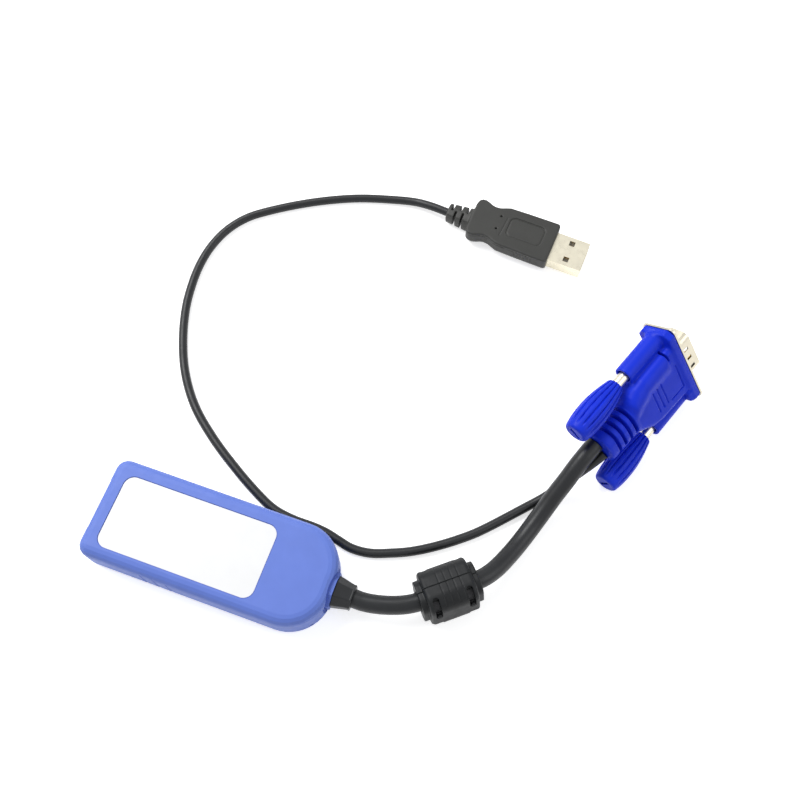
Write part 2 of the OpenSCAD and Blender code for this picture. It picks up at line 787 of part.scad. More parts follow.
module ferrite_frame() {
  translate(ferrite_place) rotate([0, 0, ferrite_heading]) rotate([-ferrite_roll, 0, 0]) children();
}

// Prism along the cable with a rounded square section, about the middle of the clamp
module ferrite_prism(length, width, radius) {
  translate([-length / 2, 0, 0]) rotate([90, 0, 90]) linear_extrude(length) rounded_rect(width, width, radius);
}

// The half of the case that lies on the +y side
module ferrite_half() {
  full = ferrite_length + 2 * ferrite_collar;
  core_hole = core_diameter + 2 * core_gap;
  difference() {
    union() {
      ferrite_prism(ferrite_length, ferrite_width, ferrite_radius);
      ferrite_prism(full, ferrite_collar_width, ferrite_radius * ferrite_collar_width / ferrite_width);
    }
    translate([-full, -ferrite_width + core_gap / 2, -ferrite_width])
      cube([2 * full, ferrite_width, 2 * ferrite_width]);
    translate([-full, 0, 0]) rotate([0, 90, 0]) cylinder(h = 2 * full, d = ferrite_bore);
    translate([-core_length() / 2 - core_gap, 0, 0]) rotate([0, 90, 0])
      cylinder(h = core_length() + 2 * core_gap, d = core_hole);
    for (side = [-1, 1]) translate([side * window_place_share * ferrite_length, 0, 0])
      rotate([-window_turn, 0, 0]) linear_extrude(ferrite_width)
        rounded_rect(window_width, window_length, window_width / 2 - running_gap);
    for (i = [0 : groove_count - 1])
      translate([(i - (groove_count - 1) / 2) * groove_pitch + groove_shift - groove_width / 2, 0, 0])
        rotate([90, 0, 90]) linear_extrude(groove_width) difference() {
          square(ferrite_width / 2 + groove_depth);
          rounded_rect(ferrite_width - 2 * groove_depth, ferrite_width - 2 * groove_depth,
                       ferrite_radius - groove_depth);
        }
    for (side = [-1, 1])
      translate([side * (ferrite_length - hook_length) / 2, ferrite_width / 2 - ferrite_radius,
                 -ferrite_width / 2])
        cube([hook_length, 2 * ferrite_radius, 2 * hook_depth], center = true);
  }
  for (side = [-1, 1]) translate([side * window_place_share * ferrite_length, 0, 0])
    rotate([-window_turn, 0, 0]) translate([-window_width / 2, window_length / 2 - clip_length, core_hole / 2])
      cube([window_width, clip_length, (ferrite_width - core_hole) / 2]);
}

function core_length() = ferrite_length * core_length_share;

// The half of the ceramic ring that lies on the +y side
module core_half() {
  difference() {
    translate([-core_length() / 2, 0, 0]) rotate([0, 90, 0]) cylinder(h = core_length(), d = core_diameter);
    translate([-core_length(), 0, 0]) rotate([0, 90, 0]) cylinder(h = 2 * core_length(), d = ferrite_bore);
    translate([-core_length(), -core_diameter + core_gap / 2, -core_diameter])
      cube([2 * core_length(), core_diameter, 2 * core_diameter]);
  }
}

module ferrite_case() {
  color(cable_black) ferrite_frame() ferrite_half();
}

module ferrite_lid() {
  color(cable_black) ferrite_frame() mirror([0, 1, 0]) ferrite_half();
}

module ferrite_core_far() {
  color([0.25, 0.25, 0.27]) ferrite_frame() core_half();
}

module ferrite_core_near() {
  color([0.25, 0.25, 0.27]) ferrite_frame() mirror([0, 1, 0]) core_half();
}

// Video plug, in its own frame: x along the flange, y across it, z out of its face

module plug_frame() {
  translate(plug_place) rotate(plug_turn) rotate(plug_tip) children();
}

// Round bar along the plug's axis
module plug_bar(back, front, diameter) {
  translate([0, 0, back]) cylinder(h = front - back, d = diameter);
}

// D shaped outline, wider at +y
module d_outline(width, height, radius) {
  rise = height / 2 - radius;
  top = width / 2 - radius;
  bottom = top - 2 * rise * tan(d_slant);
  polygon(concat(
    arc([bottom, -rise], radius, -90, -d_slant, d_steps), arc([top, rise], radius, -d_slant, 90, d_steps),
    arc([-top, rise], radius, 90, 180 + d_slant, d_steps),
    arc([-bottom, -rise], radius, 180 + d_slant, 270, d_steps)));
}

// Flange outline with clipped corners
module flange_outline(width, height, corner) {
  polygon([for (s = [[1, 1], [-1, 1], [-1, -1], [1, -1]])
    each (s.x * s.y > 0
      ? [[s.x * width / 2, s.y * (height / 2 - corner)], [s.x * (width / 2 - corner), s.y * height / 2]]
      : [[s.x * (width / 2 - corner), s.y * height / 2], [s.x * width / 2, s.y * (height / 2 - corner)]])]);
}

// Oval section of the boot
module boot_oval(share) {
  rounded_rect(boot_width * share, boot_height * share, boot_height * share / 2 - running_gap);
}

module hood_body() {
  span = flange_back - boot_front;
  loft([for (s = [len(hood_stations_share) - 1 : -1 : 0]) let (row = hood_stations_share[s])
    box_ring(row[1] * flange_width, row[2] * flange_width, row[3] * flange_height,
             row[4] * row[3] * flange_height, flange_back - row[0] * span)]);
}

module boot() {
  pitch = (boot_front - boot_back + boot_slot) / boot_rings;
  plug_bar_oval(boot_back, boot_front + cut, boot_core_share);
  for (i = [0 : boot_rings - 1])
    plug_bar_oval(boot_front - (i + 1) * pitch + boot_slot, boot_front - i * pitch + (i == 0 ? cut / 2 : 0),
                  1 - (1 - boot_taper_share) * i / (boot_rings - 1));
  for (i = [1 : boot_rings - 1], side = [-1, 1]) intersection() {
    plug_bar_oval(boot_front - i * pitch - cut / 2, boot_front - i * pitch + boot_slot + cut / 2,
                  boot_taper_share);
    translate([side * (boot_width / 2 - (i % 2) * boot_stagger) - boot_bridge / 2, -boot_height / 2, boot_back])
      cube([boot_bridge, boot_height, boot_front - boot_back]);
  }
}

module plug_bar_oval(back, front, share) {
  translate([0, 0, back]) linear_extrude(front - back) boot_oval(share);
}

module vga_hood() {
  color(plug_blue) plug_frame() difference() {
    union() {
      translate([0, 0, flange_back]) linear_extrude(flange_depth)
        flange_outline(flange_width, flange_height, flange_corner);
      hood_body();
      boot();
      for (side = [-1, 1]) translate([side * screw_spacing / 2, 0, 0])
        plug_bar(tube_back, tube_front, tube_diameter);
    }
    translate([0, 0, -plate_thickness - d_seat_depth]) linear_extrude(d_seat_depth + cut)
      rounded_rect(d_seat_width, d_seat_height, d_radius);
    for (side = [-1, 1]) translate([side * screw_spacing / 2, 0, 0]) {
      plug_bar(tube_back - cut, 0, screw_hole);
      plug_bar(chamber_back, 0, chamber_diameter);
    }
  }
}

module vga_face_shell() {
  color(steel) plug_frame() difference() {
    union() {
      translate([0, 0, -plate_thickness]) linear_extrude(plate_thickness)
        rounded_rect(flange_width, flange_height, flange_corner);
      linear_extrude(d_shell_length) d_outline(d_shell_width, d_shell_height, d_radius);
    }
    translate([0, 0, -plate_thickness - cut]) linear_extrude(d_shell_length + plate_thickness + 2 * cut)
      d_outline(d_shell_width - 2 * d_wall, d_shell_height - 2 * d_wall, d_radius - d_wall);
    for (side = [-1, 1]) translate([side * screw_spacing / 2, 0, 0])
      plug_bar(-plate_thickness - cut, cut, tip_hole);
    for (share = dimple_places_share, side = [-1, 1])
      translate([share * d_shell_width, side * d_shell_height / 2, d_shell_length * dimple_front_share])
        cube([dimple_width, 2 * d_wall + cut, dimple_length], center = true);
  }
}

module vga_insulator() {
  color([0.1, 0.12, 0.2]) plug_frame() difference() {
    union() {
      translate([0, 0, -plate_thickness]) linear_extrude(plate_thickness + insulator_front)
        d_outline(d_shell_width - 2 * d_wall - 2 * d_inner_gap, d_shell_height - 2 * d_wall - 2 * d_inner_gap,
                  d_radius - d_wall - d_inner_gap);
      translate([0, 0, -plate_thickness - d_seat_depth + seat_gap]) linear_extrude(d_seat_depth - seat_gap)
        rounded_rect(d_seat_width - 2 * seat_gap, d_seat_height - 2 * seat_gap, d_radius - seat_gap);
    }
    pin_field(pin_thickness + 2 * running_gap, -plate_thickness - d_seat_depth * pin_back_share,
              insulator_front + cut);
  }
}

// Three rows of pins, the middle row set half a pitch over
module pin_field(diameter, back, front) {
  for (row = [0 : pin_rows - 1], column = [0 : pin_columns - 1])
    translate([(column - (pin_columns - 1) / 2) * pin_pitch + (row % 2 == 1 ? -pin_pitch / 4 : pin_pitch / 4),
               (row - (pin_rows - 1) / 2) * pin_row, 0])
      plug_bar(back, front, diameter);
}

module vga_pins() {
  color([0.85, 0.72, 0.4]) plug_frame()
    pin_field(pin_thickness, -plate_thickness - d_seat_depth * pin_back_share + running_gap, pin_front);
}

// Jackscrews, each along its own axis

module screw_frame(side) {
  plug_frame() translate([side * screw_spacing / 2, 0, 0]) children();
}

module retainer(side) {
  color(steel) screw_frame(side) difference() {
    plug_bar(retainer_start, retainer_start + retainer_thickness, retainer_diameter);
    plug_bar(retainer_start - cut, retainer_start + retainer_thickness + cut, retainer_bore);
  }
}

module jackscrew(side) {
  color(steel) screw_frame(side) {
    plug_bar(shaft_back, retainer_start - running_gap, shaft_diameter);
    plug_bar(retainer_start - running_gap, thread_start, groove_diameter);
    plug_bar(thread_start, tip_reach, tip_diameter);
  }
}

// Diameter of the thumb grip at a share of the way back
function knob_width(share) =
  share < knob_belly_share
    ? knob_front_diameter + (knob_diameter - knob_front_diameter) * sin(90 * share / knob_belly_share)
    : knob_rear_diameter + (knob_diameter - knob_rear_diameter)
      * cos(90 * (share - knob_belly_share) / (1 - knob_belly_share));

// Ring of a thumb grip with flutes of a depth
function fluted_ring(radius, depth, z) =
  [for (i = [0 : knob_flutes - 1], point = flute_points_share)
    let (angle = (i + point.x) * 360 / knob_flutes, reach = radius - depth * point.y)
    [reach * cos(angle), reach * sin(angle), z]];

// Ring of a thumb grip at a share of the way back
function knob_ring(share) =
  let (fade = min(1, (1 - share) / flute_fade_share, flute_start_share + share / flute_fade_share))
  fluted_ring(knob_width(share) / 2, flute_depth * fade, knob_front - share * knob_length);

module knob(side) {
  color(plug_blue) screw_frame(side) difference() {
    loft(concat([for (i = [len(knob_stations_share) - 1 : -1 : 0]) knob_ring(knob_stations_share[i])],
                [fluted_ring(knob_nose_diameter / 2, 0, knob_front + knob_nose)]));
    plug_bar(shaft_back - running_gap, knob_front + knob_nose + cut, shaft_diameter + 2 * running_gap);
    translate([0, 0, knob_back])
      cube([driver_slot_width, 2 * knob_diameter, 2 * driver_slot_depth], center = true);
  }
}

module upper_retainer() { retainer(-1); }
module lower_retainer() { retainer(1); }
module upper_jackscrew() { jackscrew(-1); }
module lower_jackscrew() { jackscrew(1); }
module upper_knob() { knob(-1); }
module lower_knob() { knob(1); }

// USB plug, in its own frame: x out of its face, z up from the table

module usb_frame() {
  translate(usb_place) rotate([0, 0, usb_heading]) children();
}

// Box along the plug, centred across it and on its middle height
module usb_box(start, end, width, height) {
  translate([start, -width / 2, grip_thickness / 2 - height / 2]) cube([end - start, width, height]);
}

// Section of the grip at a place along it
function grip_ring(x, half, tall, edge) =
  [for (p = box_ring(-half, half, tall / 2, edge, 0)) [x, p.x, grip_thickness / 2 + p.y]];

// Half width of the grip at a row of its outline
function grip_half(row) = (row[1] * grip_front + row[2] * grip_bulge + row[3] * grip_waist) / 2;

module usb_overmold() {
  color(cable_black) usb_frame() difference() {
    union() {
      loft([for (row = grip_outline_share)
        let (near_end = row.x == 0 || row.x == 1, tall = near_end ? grip_thickness - grip_edge : grip_thickness)
        grip_ring(-grip_length + row.x * grip_length, grip_half(row), tall, grip_edge)]);
      for (i = [0 : relief_segments - 1]) {
        pitch = relief_span / relief_segments;
        width = relief_start_width + (relief_tip_width - relief_start_width) * i / (relief_segments - 1);
        usb_box(-grip_length - (i + 1) * pitch + relief_notch, -grip_length - i * pitch + (i == 0 ? cut : 0),
                width, width * relief_height_share);
      }
      translate([-grip_length - relief_span, 0, grip_thickness / 2]) rotate([0, 90, 0])
        cylinder(h = relief_span + 2 * cut, d = relief_core);
    }
    usb_box(-usb_shell_inside, cut, usb_shell_width + 2 * running_gap, usb_shell_height + 2 * running_gap);
  }
}

module usb_shell() {
  color(steel) usb_frame() difference() {
    usb_box(-usb_shell_inside, usb_shell_length, usb_shell_width, usb_shell_height);
    usb_box(-usb_shell_inside - cut, usb_shell_length + cut, usb_shell_width - 2 * usb_shell_wall,
            usb_shell_height - 2 * usb_shell_wall);
    for (side = [-1, 1]) translate([usb_window_x, side * usb_window_y, grip_thickness / 2])
      cube([usb_window, usb_window, 2 * usb_shell_height], center = true);
  }
}

module usb_tongue() {
  inner_width = usb_shell_width - 2 * usb_shell_wall - 2 * running_gap;
  floor_z = grip_thickness / 2 - usb_shell_height / 2 + usb_shell_wall + running_gap;
  color([0.9, 0.9, 0.88]) usb_frame() translate([-usb_shell_inside, -inner_width / 2, floor_z])
    cube([usb_shell_inside + usb_shell_length - tongue_short, inner_width, tongue_height]);
}

module usb_contacts() {
  top_z = grip_thickness / 2 - usb_shell_height / 2 + usb_shell_wall + running_gap + tongue_height;
  color([0.85, 0.7, 0.35]) usb_frame() for (y = usb_contact_places)
    translate([usb_shell_length * (1 - usb_contact_length_share) - tongue_short, y - usb_contact_width / 2,
               top_z])
      cube([usb_shell_length * usb_contact_length_share - tongue_short, usb_contact_width, usb_contact_height]);
}

housing_top();
housing_bottom();
label_plate();
strain_relief();
circuit_board();
rj45_jack();
rj45_contacts();
video_chip();
usb_chip();
driver_chip();
crystal();
capacitors();
wire_header();
wire_plug();
lead_wires();
video_cable();
ferrite_case();
ferrite_lid();
ferrite_core_far();
ferrite_core_near();
vga_hood();
vga_face_shell();
vga_insulator();
vga_pins();
upper_retainer();
lower_retainer();
upper_jackscrew();
lower_jackscrew();
upper_knob();
lower_knob();
usb_cable();
usb_overmold();
usb_shell();
usb_tongue();
usb_contacts();
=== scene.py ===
import math
import bpy
import numpy as np
from mathutils import Matrix, Vector


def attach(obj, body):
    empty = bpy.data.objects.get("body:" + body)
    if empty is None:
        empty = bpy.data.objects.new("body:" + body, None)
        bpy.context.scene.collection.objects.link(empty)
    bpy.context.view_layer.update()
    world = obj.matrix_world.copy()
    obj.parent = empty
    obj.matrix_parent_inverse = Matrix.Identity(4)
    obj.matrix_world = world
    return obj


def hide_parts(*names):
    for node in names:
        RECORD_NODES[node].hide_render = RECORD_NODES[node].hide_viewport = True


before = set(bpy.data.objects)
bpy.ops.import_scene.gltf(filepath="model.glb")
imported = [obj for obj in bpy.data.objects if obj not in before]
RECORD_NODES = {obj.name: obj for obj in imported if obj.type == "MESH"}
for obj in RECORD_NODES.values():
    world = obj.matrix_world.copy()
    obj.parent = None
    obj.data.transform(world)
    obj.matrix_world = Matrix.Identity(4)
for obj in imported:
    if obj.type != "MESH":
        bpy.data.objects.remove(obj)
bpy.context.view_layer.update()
ROOT = "module"

# Lengths below are in millimetres, as in the part's source, and become metres here
MM = 0.001

# Camera, at the photograph's place: focal length in pixels of an 800 pixel frame
FOCAL_PIXELS = 930
FRAME_PIXELS = 800
SENSOR = 36
CAMERA_AT = (76.0, -46.5, 288.0)
CAMERA_LOOKS = (-0.1311, 0.3681, -0.9205)

# Places of the plugs and of the clamp, as in the part's source
PLUG_PLACE = (115.9, 105.6, 15.9)
PLUG_TURN = (-38, -2.3, 68.5)
PLUG_TIP = (0, 90, 0)
SCREW_X = 12.5
FERRITE_PLACE = (70.7, 11.5, 7.8)
FERRITE_TURN = (0, 0, 39.5)
FERRITE_ROLL = (-14.5, 0, 0)
USB_PLACE = (67, 140.3, 0)
USB_TURN = (0, 0, -3.5)
CABLE_Z = 7.5
COLLAR_X = 38.75

VIDEO_DIAMETER = 5.8
VIDEO_ROUTE = [
    (44.6, 0, 7.5), (47.5, 0, 7.5), (50.6, 0.4, 7.6), (54.4, 1.3, 7.7), (58.4, 2.7, 7.8), (61.4, 4.2, 7.8),
    (64, 6, 7.8), (70.7, 11.5, 7.8), (77, 16.7, 7.8), (80, 19.8, 7.2), (82.4, 23.6, 6), (84.9, 29.2, 4.3),
    (87.1, 35, 3.2), (89.1, 40.8, 3.5), (91, 46.4, 5.2), (92.8, 51.6, 7.7), (94.7, 56.4, 10.4),
    (96.2, 60.6, 12.6), (97.7, 64.4, 14.2), (99.6, 69, 15),
]
USB_DIAMETER = 3
USB_ROUTE = [
    (27, 142.7, 3.75), (20.5, 143.6, 3.2), (14, 144, 2.2), (5.5, 142.5, 1.6), (-5.7, 139.2, 1.5),
    (-15.9, 134.7, 1.5), (-25.6, 129.3, 1.5), (-35.1, 122.9, 1.5), (-41.5, 117.5, 1.5), (-46.2, 110.5, 1.5),
    (-48.8, 102.5, 1.5), (-49.6, 94.5, 1.5), (-49, 86, 1.5), (-47, 76, 1.5), (-42.8, 64.5, 1.5),
    (-36.8, 53.2, 1.5), (-28.7, 43.2, 1.5), (-18.4, 34.8, 1.5), (-7, 27.5, 1.5), (3, 22, 1.5),
    (10, 19, 1.5), (17, 17.9, 1.5), (24, 17.8, 1.5), (28.5, 17.4, 1.5), (32.5, 16.5, 1.5),
    (37.8, 15.4, 1.5), (43.8, 15.9, 1.5), (49.7, 18, 1.5), (55.5, 20.6, 1.5), (61.2, 24, 1.5),
    (67.6, 28.6, 1.5), (74.1, 34.2, 1.5), (85.5, 46.5, 1.6), (89.7, 51, 2.2), (92.6, 54.5, 3.4),
    (95.3, 57.9, 5.3), (98, 61, 7.5), (100.4, 63.8, 9.8), (101.9, 65.6, 11.6), (103.4, 67.6, 12.9),
]


def turned(degrees):
    """Rotation about X, then Y, then Z, as the part's source turns things."""
    x, y, z = (math.radians(v) for v in degrees)
    return Matrix.Rotation(z, 4, "Z") @ Matrix.Rotation(y, 4, "Y") @ Matrix.Rotation(x, 4, "X")


PLUG = Matrix.Translation(PLUG_PLACE) @ turned(PLUG_TURN) @ turned(PLUG_TIP)
FERRITE = Matrix.Translation(FERRITE_PLACE) @ turned(FERRITE_TURN) @ turned(FERRITE_ROLL)
USB = Matrix.Translation(USB_PLACE) @ turned(USB_TURN)
LEVEL = Matrix.Identity(4)


# Camera
def add_camera():
    data = bpy.data.cameras.new("camera")
    data.sensor_width = SENSOR
    data.lens = FOCAL_PIXELS / FRAME_PIXELS * SENSOR
    data.clip_start = 0.01
    camera = bpy.data.objects.new("camera", data)
    bpy.context.scene.collection.objects.link(camera)
    camera.location = Vector(CAMERA_AT) * MM
    camera.rotation_euler = Vector(CAMERA_LOOKS).to_track_quat("-Z", "Y").to_euler()
    bpy.context.scene.camera = camera


add_camera()


# Materials
# Sockets of a colour mix node
MIX_SHARE, MIX_A, MIX_B, MIX_RESULT = 0, 6, 7, 2
# Range that noise mostly stays in
NOISE_LOW, NOISE_HIGH = 0.3, 0.7
GRAIN_STRENGTH = 0.35


class Nodes:
    """A material's nodes, linked as they are made."""

    def __init__(self, name):
        self.material = bpy.data.materials.new(name)
        self.material.use_nodes = True
        self.tree = self.material.node_tree
        self.shader = self.tree.nodes["Principled BSDF"]
        self.place = self.tree.nodes.new("ShaderNodeTexCoord").outputs["Object"]

    def add(self, kind, **settings):
        node = self.tree.nodes.new(kind)
        for key, value in settings.items():
            if key.startswith("in_"):
                node.inputs[key[3:].replace("_", " ")].default_value = value
            else:
                setattr(node, key, value)
        return node

    def link(self, source, target):
        self.tree.links.new(source, target)

    def noise(self, size, detail=3.0, rough=0.5):
        """Noise whose grains are about so many millimetres across."""
        node = self.add("ShaderNodeTexNoise", in_Scale=1 / (size * MM), in_Detail=detail, in_Roughness=rough)
        self.link(self.place, node.inputs["Vector"])
        return node.outputs["Fac"]

    def ramp(self, source, low, high):
        node = self.add("ShaderNodeMapRange", in_To_Min=low, in_To_Max=high)
        node.inputs["From Min"].default_value = NOISE_LOW
        node.inputs["From Max"].default_value = NOISE_HIGH
        self.link(source, node.inputs["Value"])
        return node.outputs["Result"]


def finish(name, colour, rough=0.4, metallic=0.0, grain=0.25, depth=0.01, tint=0.06, spread=0.06,
           specular=0.5, patch=6.0):
    """Moulded or plated surface: slight colour patches, uneven gloss and a fine grain in its bump."""
    n = Nodes(name)
    shader = n.shader
    shader.inputs["Metallic"].default_value = metallic
    shader.inputs["Specular IOR Level"].default_value = specular
    mix = n.add("ShaderNodeMix", data_type="RGBA")
    dark = [c * (1 - tint) for c in colour]
    light = [min(1, c * (1 + tint)) for c in colour]
    mix.inputs[MIX_A].default_value = (*dark, 1)
    mix.inputs[MIX_B].default_value = (*light, 1)
    n.link(n.ramp(n.noise(patch, 4.0), 0, 1), mix.inputs[MIX_SHARE])
    n.link(mix.outputs[MIX_RESULT], shader.inputs["Base Color"])
    n.link(n.ramp(n.noise(patch / 3, 5.0), rough - spread, rough + spread), shader.inputs["Roughness"])
    bump = n.add("ShaderNodeBump", in_Strength=GRAIN_STRENGTH, in_Distance=depth * MM)
    n.link(n.noise(grain, 2.0), bump.inputs["Height"])
    n.link(bump.outputs["Normal"], shader.inputs["Normal"])
    n.material.diffuse_color = (*colour, 1)
    return n.material


HOUSING = finish("housing_blue", (0.135, 0.215, 0.66), rough=0.5, grain=0.22, depth=0.012, tint=0.03,
                 specular=0.3)
LABEL = finish("label_white", (0.86, 0.865, 0.87), rough=0.38, grain=0.5, depth=0.004, tint=0.012)
CABLE = finish("cable_black", (0.012, 0.013, 0.0145), rough=0.38, grain=0.5, depth=0.02, tint=0.2,
               specular=0.34)
CLAMP = finish("clamp_black", (0.010, 0.011, 0.012), rough=0.45, grain=0.16, depth=0.025, tint=0.14,
               specular=0.22)
CERAMIC = finish("ferrite_grey", (0.03, 0.03, 0.033), rough=0.6, grain=0.3, depth=0.02, tint=0.15)
PLUG_BLUE = finish("plug_blue", (0.009, 0.035, 0.66), rough=0.42, grain=0.2, depth=0.012, tint=0.06,
                   specular=0.15)
NICKEL = finish("nickel", (0.74, 0.69, 0.55), rough=0.3, metallic=1.0, grain=0.12, depth=0.006, tint=0.03)
GOLD = finish("gold_contact", (0.85, 0.6, 0.22), rough=0.25, metallic=1.0, grain=0.2, depth=0.004)
INSULATOR = finish("insulator", (0.012, 0.016, 0.035), rough=0.5)
JACK = finish("jack_black", (0.02, 0.02, 0.022), rough=0.45)
BOARD = finish("board_green", (0.01, 0.09, 0.035), rough=0.3, grain=0.8, depth=0.02, tint=0.2)
CHIP = finish("chip_black", (0.02, 0.02, 0.022), rough=0.55)
TONGUE = finish("tongue_white", (0.78, 0.77, 0.72), rough=0.45)
CAN = finish("can_metal", (0.75, 0.76, 0.78), rough=0.3, metallic=1.0)
IVORY = finish("header_ivory", (0.74, 0.7, 0.56), rough=0.45)
USB_BLACK = finish("usb_black", (0.036, 0.036, 0.033), rough=0.48, grain=0.14, depth=0.02, tint=0.08,
                   specular=0.35)
WIRE = finish("wire_mix", (0.45, 0.05, 0.04), rough=0.4)


# A wall faces the axis, and gets painted shade, where its normal and the way out from the axis have less
# than this in common
INSIDE_FACING = -0.3
# Colour of the painted shade on walls that face the axis
PAINTED_INNER_SHADE = (0.05, 0.045, 0.035)


def paint_shade_inside(material, centre, axis, shade):
    """Paint shade on the walls that face an axis: the shadow inside a deep shell, painted into its colour.
    """
    tree = material.node_tree
    place = tree.nodes.new("ShaderNodeTexCoord")

    def maths(operation, *sources):
        node = tree.nodes.new("ShaderNodeVectorMath")
        node.operation = operation
        for i, source in enumerate(sources):
            if isinstance(source, (tuple, Vector)):
                node.inputs[i].default_value = tuple(source)
            else:
                tree.links.new(source, node.inputs[i])
        return node

    offset = maths("SUBTRACT", place.outputs["Object"], centre).outputs[0]
    along = maths("PROJECT", offset, axis).outputs[0]
    outward = maths("NORMALIZE", maths("SUBTRACT", offset, along).outputs[0]).outputs[0]
    facing = maths("DOT_PRODUCT", outward, place.outputs["Normal"]).outputs["Value"]
    inside = tree.nodes.new("ShaderNodeMath")
    inside.operation = "LESS_THAN"
    inside.inputs[1].default_value = INSIDE_FACING
    tree.links.new(facing, inside.inputs[0])
    shader = tree.nodes["Principled BSDF"]
    plain = shader.inputs["Base Color"].links[0].from_socket
    # Painted shade mixed over the plain colour where a wall faces the axis
    mix = tree.nodes.new("ShaderNodeMix")
    mix.data_type = "RGBA"
    mix.inputs[MIX_B].default_value = (*shade, 1)
    tree.links.new(inside.outputs[0], mix.inputs[MIX_SHARE])
    tree.links.new(plain, mix.inputs[MIX_A])
    tree.links.new(mix.outputs[MIX_RESULT], shader.inputs["Base Color"])


SHELL = finish("plated_shell_with_painted_shade", (0.62, 0.575, 0.46), rough=0.33, metallic=1.0, grain=0.12, depth=0.006,
               tint=0.03)
# Painted shade on the shell's walls that face the plug's axis
paint_shade_inside(SHELL, Vector(PLUG_PLACE) * MM, PLUG.to_3x3() @ Vector((0, 0, 1)), PAINTED_INNER_SHADE)

CAD_FINISH = {
    "housing_top": HOUSING, "housing_bottom": HOUSING, "label_plate": LABEL, "circuit_board": BOARD,
    "rj45_jack": JACK, "rj45_contacts": GOLD, "video_chip": CHIP, "usb_chip": CHIP, "driver_chip": CHIP,
    "crystal": NICKEL, "capacitors": CAN, "wire_header": IVORY, "wire_plug": IVORY, "lead_wires": WIRE,
    "ferrite_core_far": CERAMIC, "ferrite_core_near": CERAMIC, "vga_face_shell": SHELL,
    "vga_insulator": INSULATOR, "vga_pins": GOLD, "upper_retainer": NICKEL, "lower_retainer": NICKEL,
    "upper_jackscrew": NICKEL, "lower_jackscrew": NICKEL, "usb_shell": NICKEL, "usb_tongue": TONGUE,
    "usb_contacts": GOLD,
}
# Nodes whose edges get a fine rounding: width in millimetres
CAD_BEVEL = {"housing_top": 0.12, "housing_bottom": 0.12, "vga_face_shell": 0.08, "usb_shell": 0.12,
             "rj45_jack": 0.1, "label_plate": 0.05}
BEVEL_STEPS = 2
SMOOTH_ANGLE = 32


def smooth_group():
    """Modifier that shades faces smooth and keeps edges sharper than the smooth angle."""
    group = bpy.data.node_groups.new("smooth_by_angle", "GeometryNodeTree")
    for direction in ("INPUT", "OUTPUT"):
        group.interface.new_socket("Geometry", in_out=direction, socket_type="NodeSocketGeometry")
    start = group.nodes.new("NodeGroupInput")
    end = group.nodes.new("NodeGroupOutput")
    faces = group.nodes.new("GeometryNodeSetShadeSmooth")
    edges = group.nodes.new("GeometryNodeSetShadeSmooth")
    edges.domain = "EDGE"
    edges.inputs["Shade Smooth"].default_value = False
    angle = group.nodes.new("GeometryNodeInputMeshEdgeAngle")
    sharp = group.nodes.new("FunctionNodeCompare")
    sharp.inputs[1].default_value = math.radians(SMOOTH_ANGLE)
    group.links.new(angle.outputs["Unsigned Angle"], sharp.inputs[0])
    group.links.new(sharp.outputs[0], edges.inputs["Selection"])
    group.links.new(start.outputs[0], faces.inputs["Geometry"])
    group.links.new(faces.outputs[0], edges.inputs["Geometry"])
    group.links.new(edges.outputs[0], end.inputs[0])
    return group


SMOOTH = smooth_group()


def dress_node(name, material):
    node = RECORD_NODES[name]
    node.data.materials.clear()
    node.data.materials.append(material)
    if name in CAD_BEVEL:
        bevel = node.modifiers.new("edge", "BEVEL")
        bevel.width = CAD_BEVEL[name] * MM
        bevel.segments = BEVEL_STEPS
        bevel.limit_method = "ANGLE"
        bevel.angle_limit = math.radians(SMOOTH_ANGLE)
    smooth = node.modifiers.new("smooth", "NODES")
    smooth.node_group = SMOOTH


for node_name, node_finish in CAD_FINISH.items():
    dress_node(node_name, node_finish)


# Cords
CORD_STEPS, CORD_ROUND_STEPS = 6, 5


def smooth_curve(name, route, diameter, material):
    """Round cable through the route's points, as a curve of one open spline."""
    data = bpy.data.curves.new(name, "CURVE")
    data.dimensions = "3D"
    data.bevel_depth = diameter / 2 * MM
    data.bevel_resolution = CORD_ROUND_STEPS
    data.resolution_u = CORD_STEPS
    data.use_fill_caps = True
    spline = data.splines.new("BEZIER")
    spline.bezier_points.add(len(route) - 1)
    points = [Vector(p) * MM for p in route]
    for i, point in enumerate(spline.bezier_points):
        here = points[i]
        before = points[max(i - 1, 0)]
        after = points[min(i + 1, len(points) - 1)]
        along = (after - before).normalized()
        point.co = here
        point.handle_left = here - along * (here - before).length / 3
        point.handle_right = here + along * (after - here).length / 3
    data.materials.append(material)
    obj = bpy.data.objects.new(name, data)
    bpy.context.scene.collection.objects.link(obj)
    return obj


video = smooth_curve("video_cord", VIDEO_ROUTE, VIDEO_DIAMETER, CABLE)
usb = smooth_curve("usb_cord", USB_ROUTE, USB_DIAMETER, CABLE)
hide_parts("video_cable")
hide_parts("usb_cable")
for cord_object in (video, usb):
    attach(cord_object, ROOT)


# Solids from distance fields: each field is negative inside the shape, in millimetres
def grid(low, high, step):
    """Coordinates of a grid's points."""
    counts = [int(round((b - a) / step)) + 1 for a, b in zip(low, high)]
    axes = [low[i] + step * np.arange(counts[i], dtype=np.float32) for i in range(3)]
    return np.meshgrid(*axes, indexing="ij")


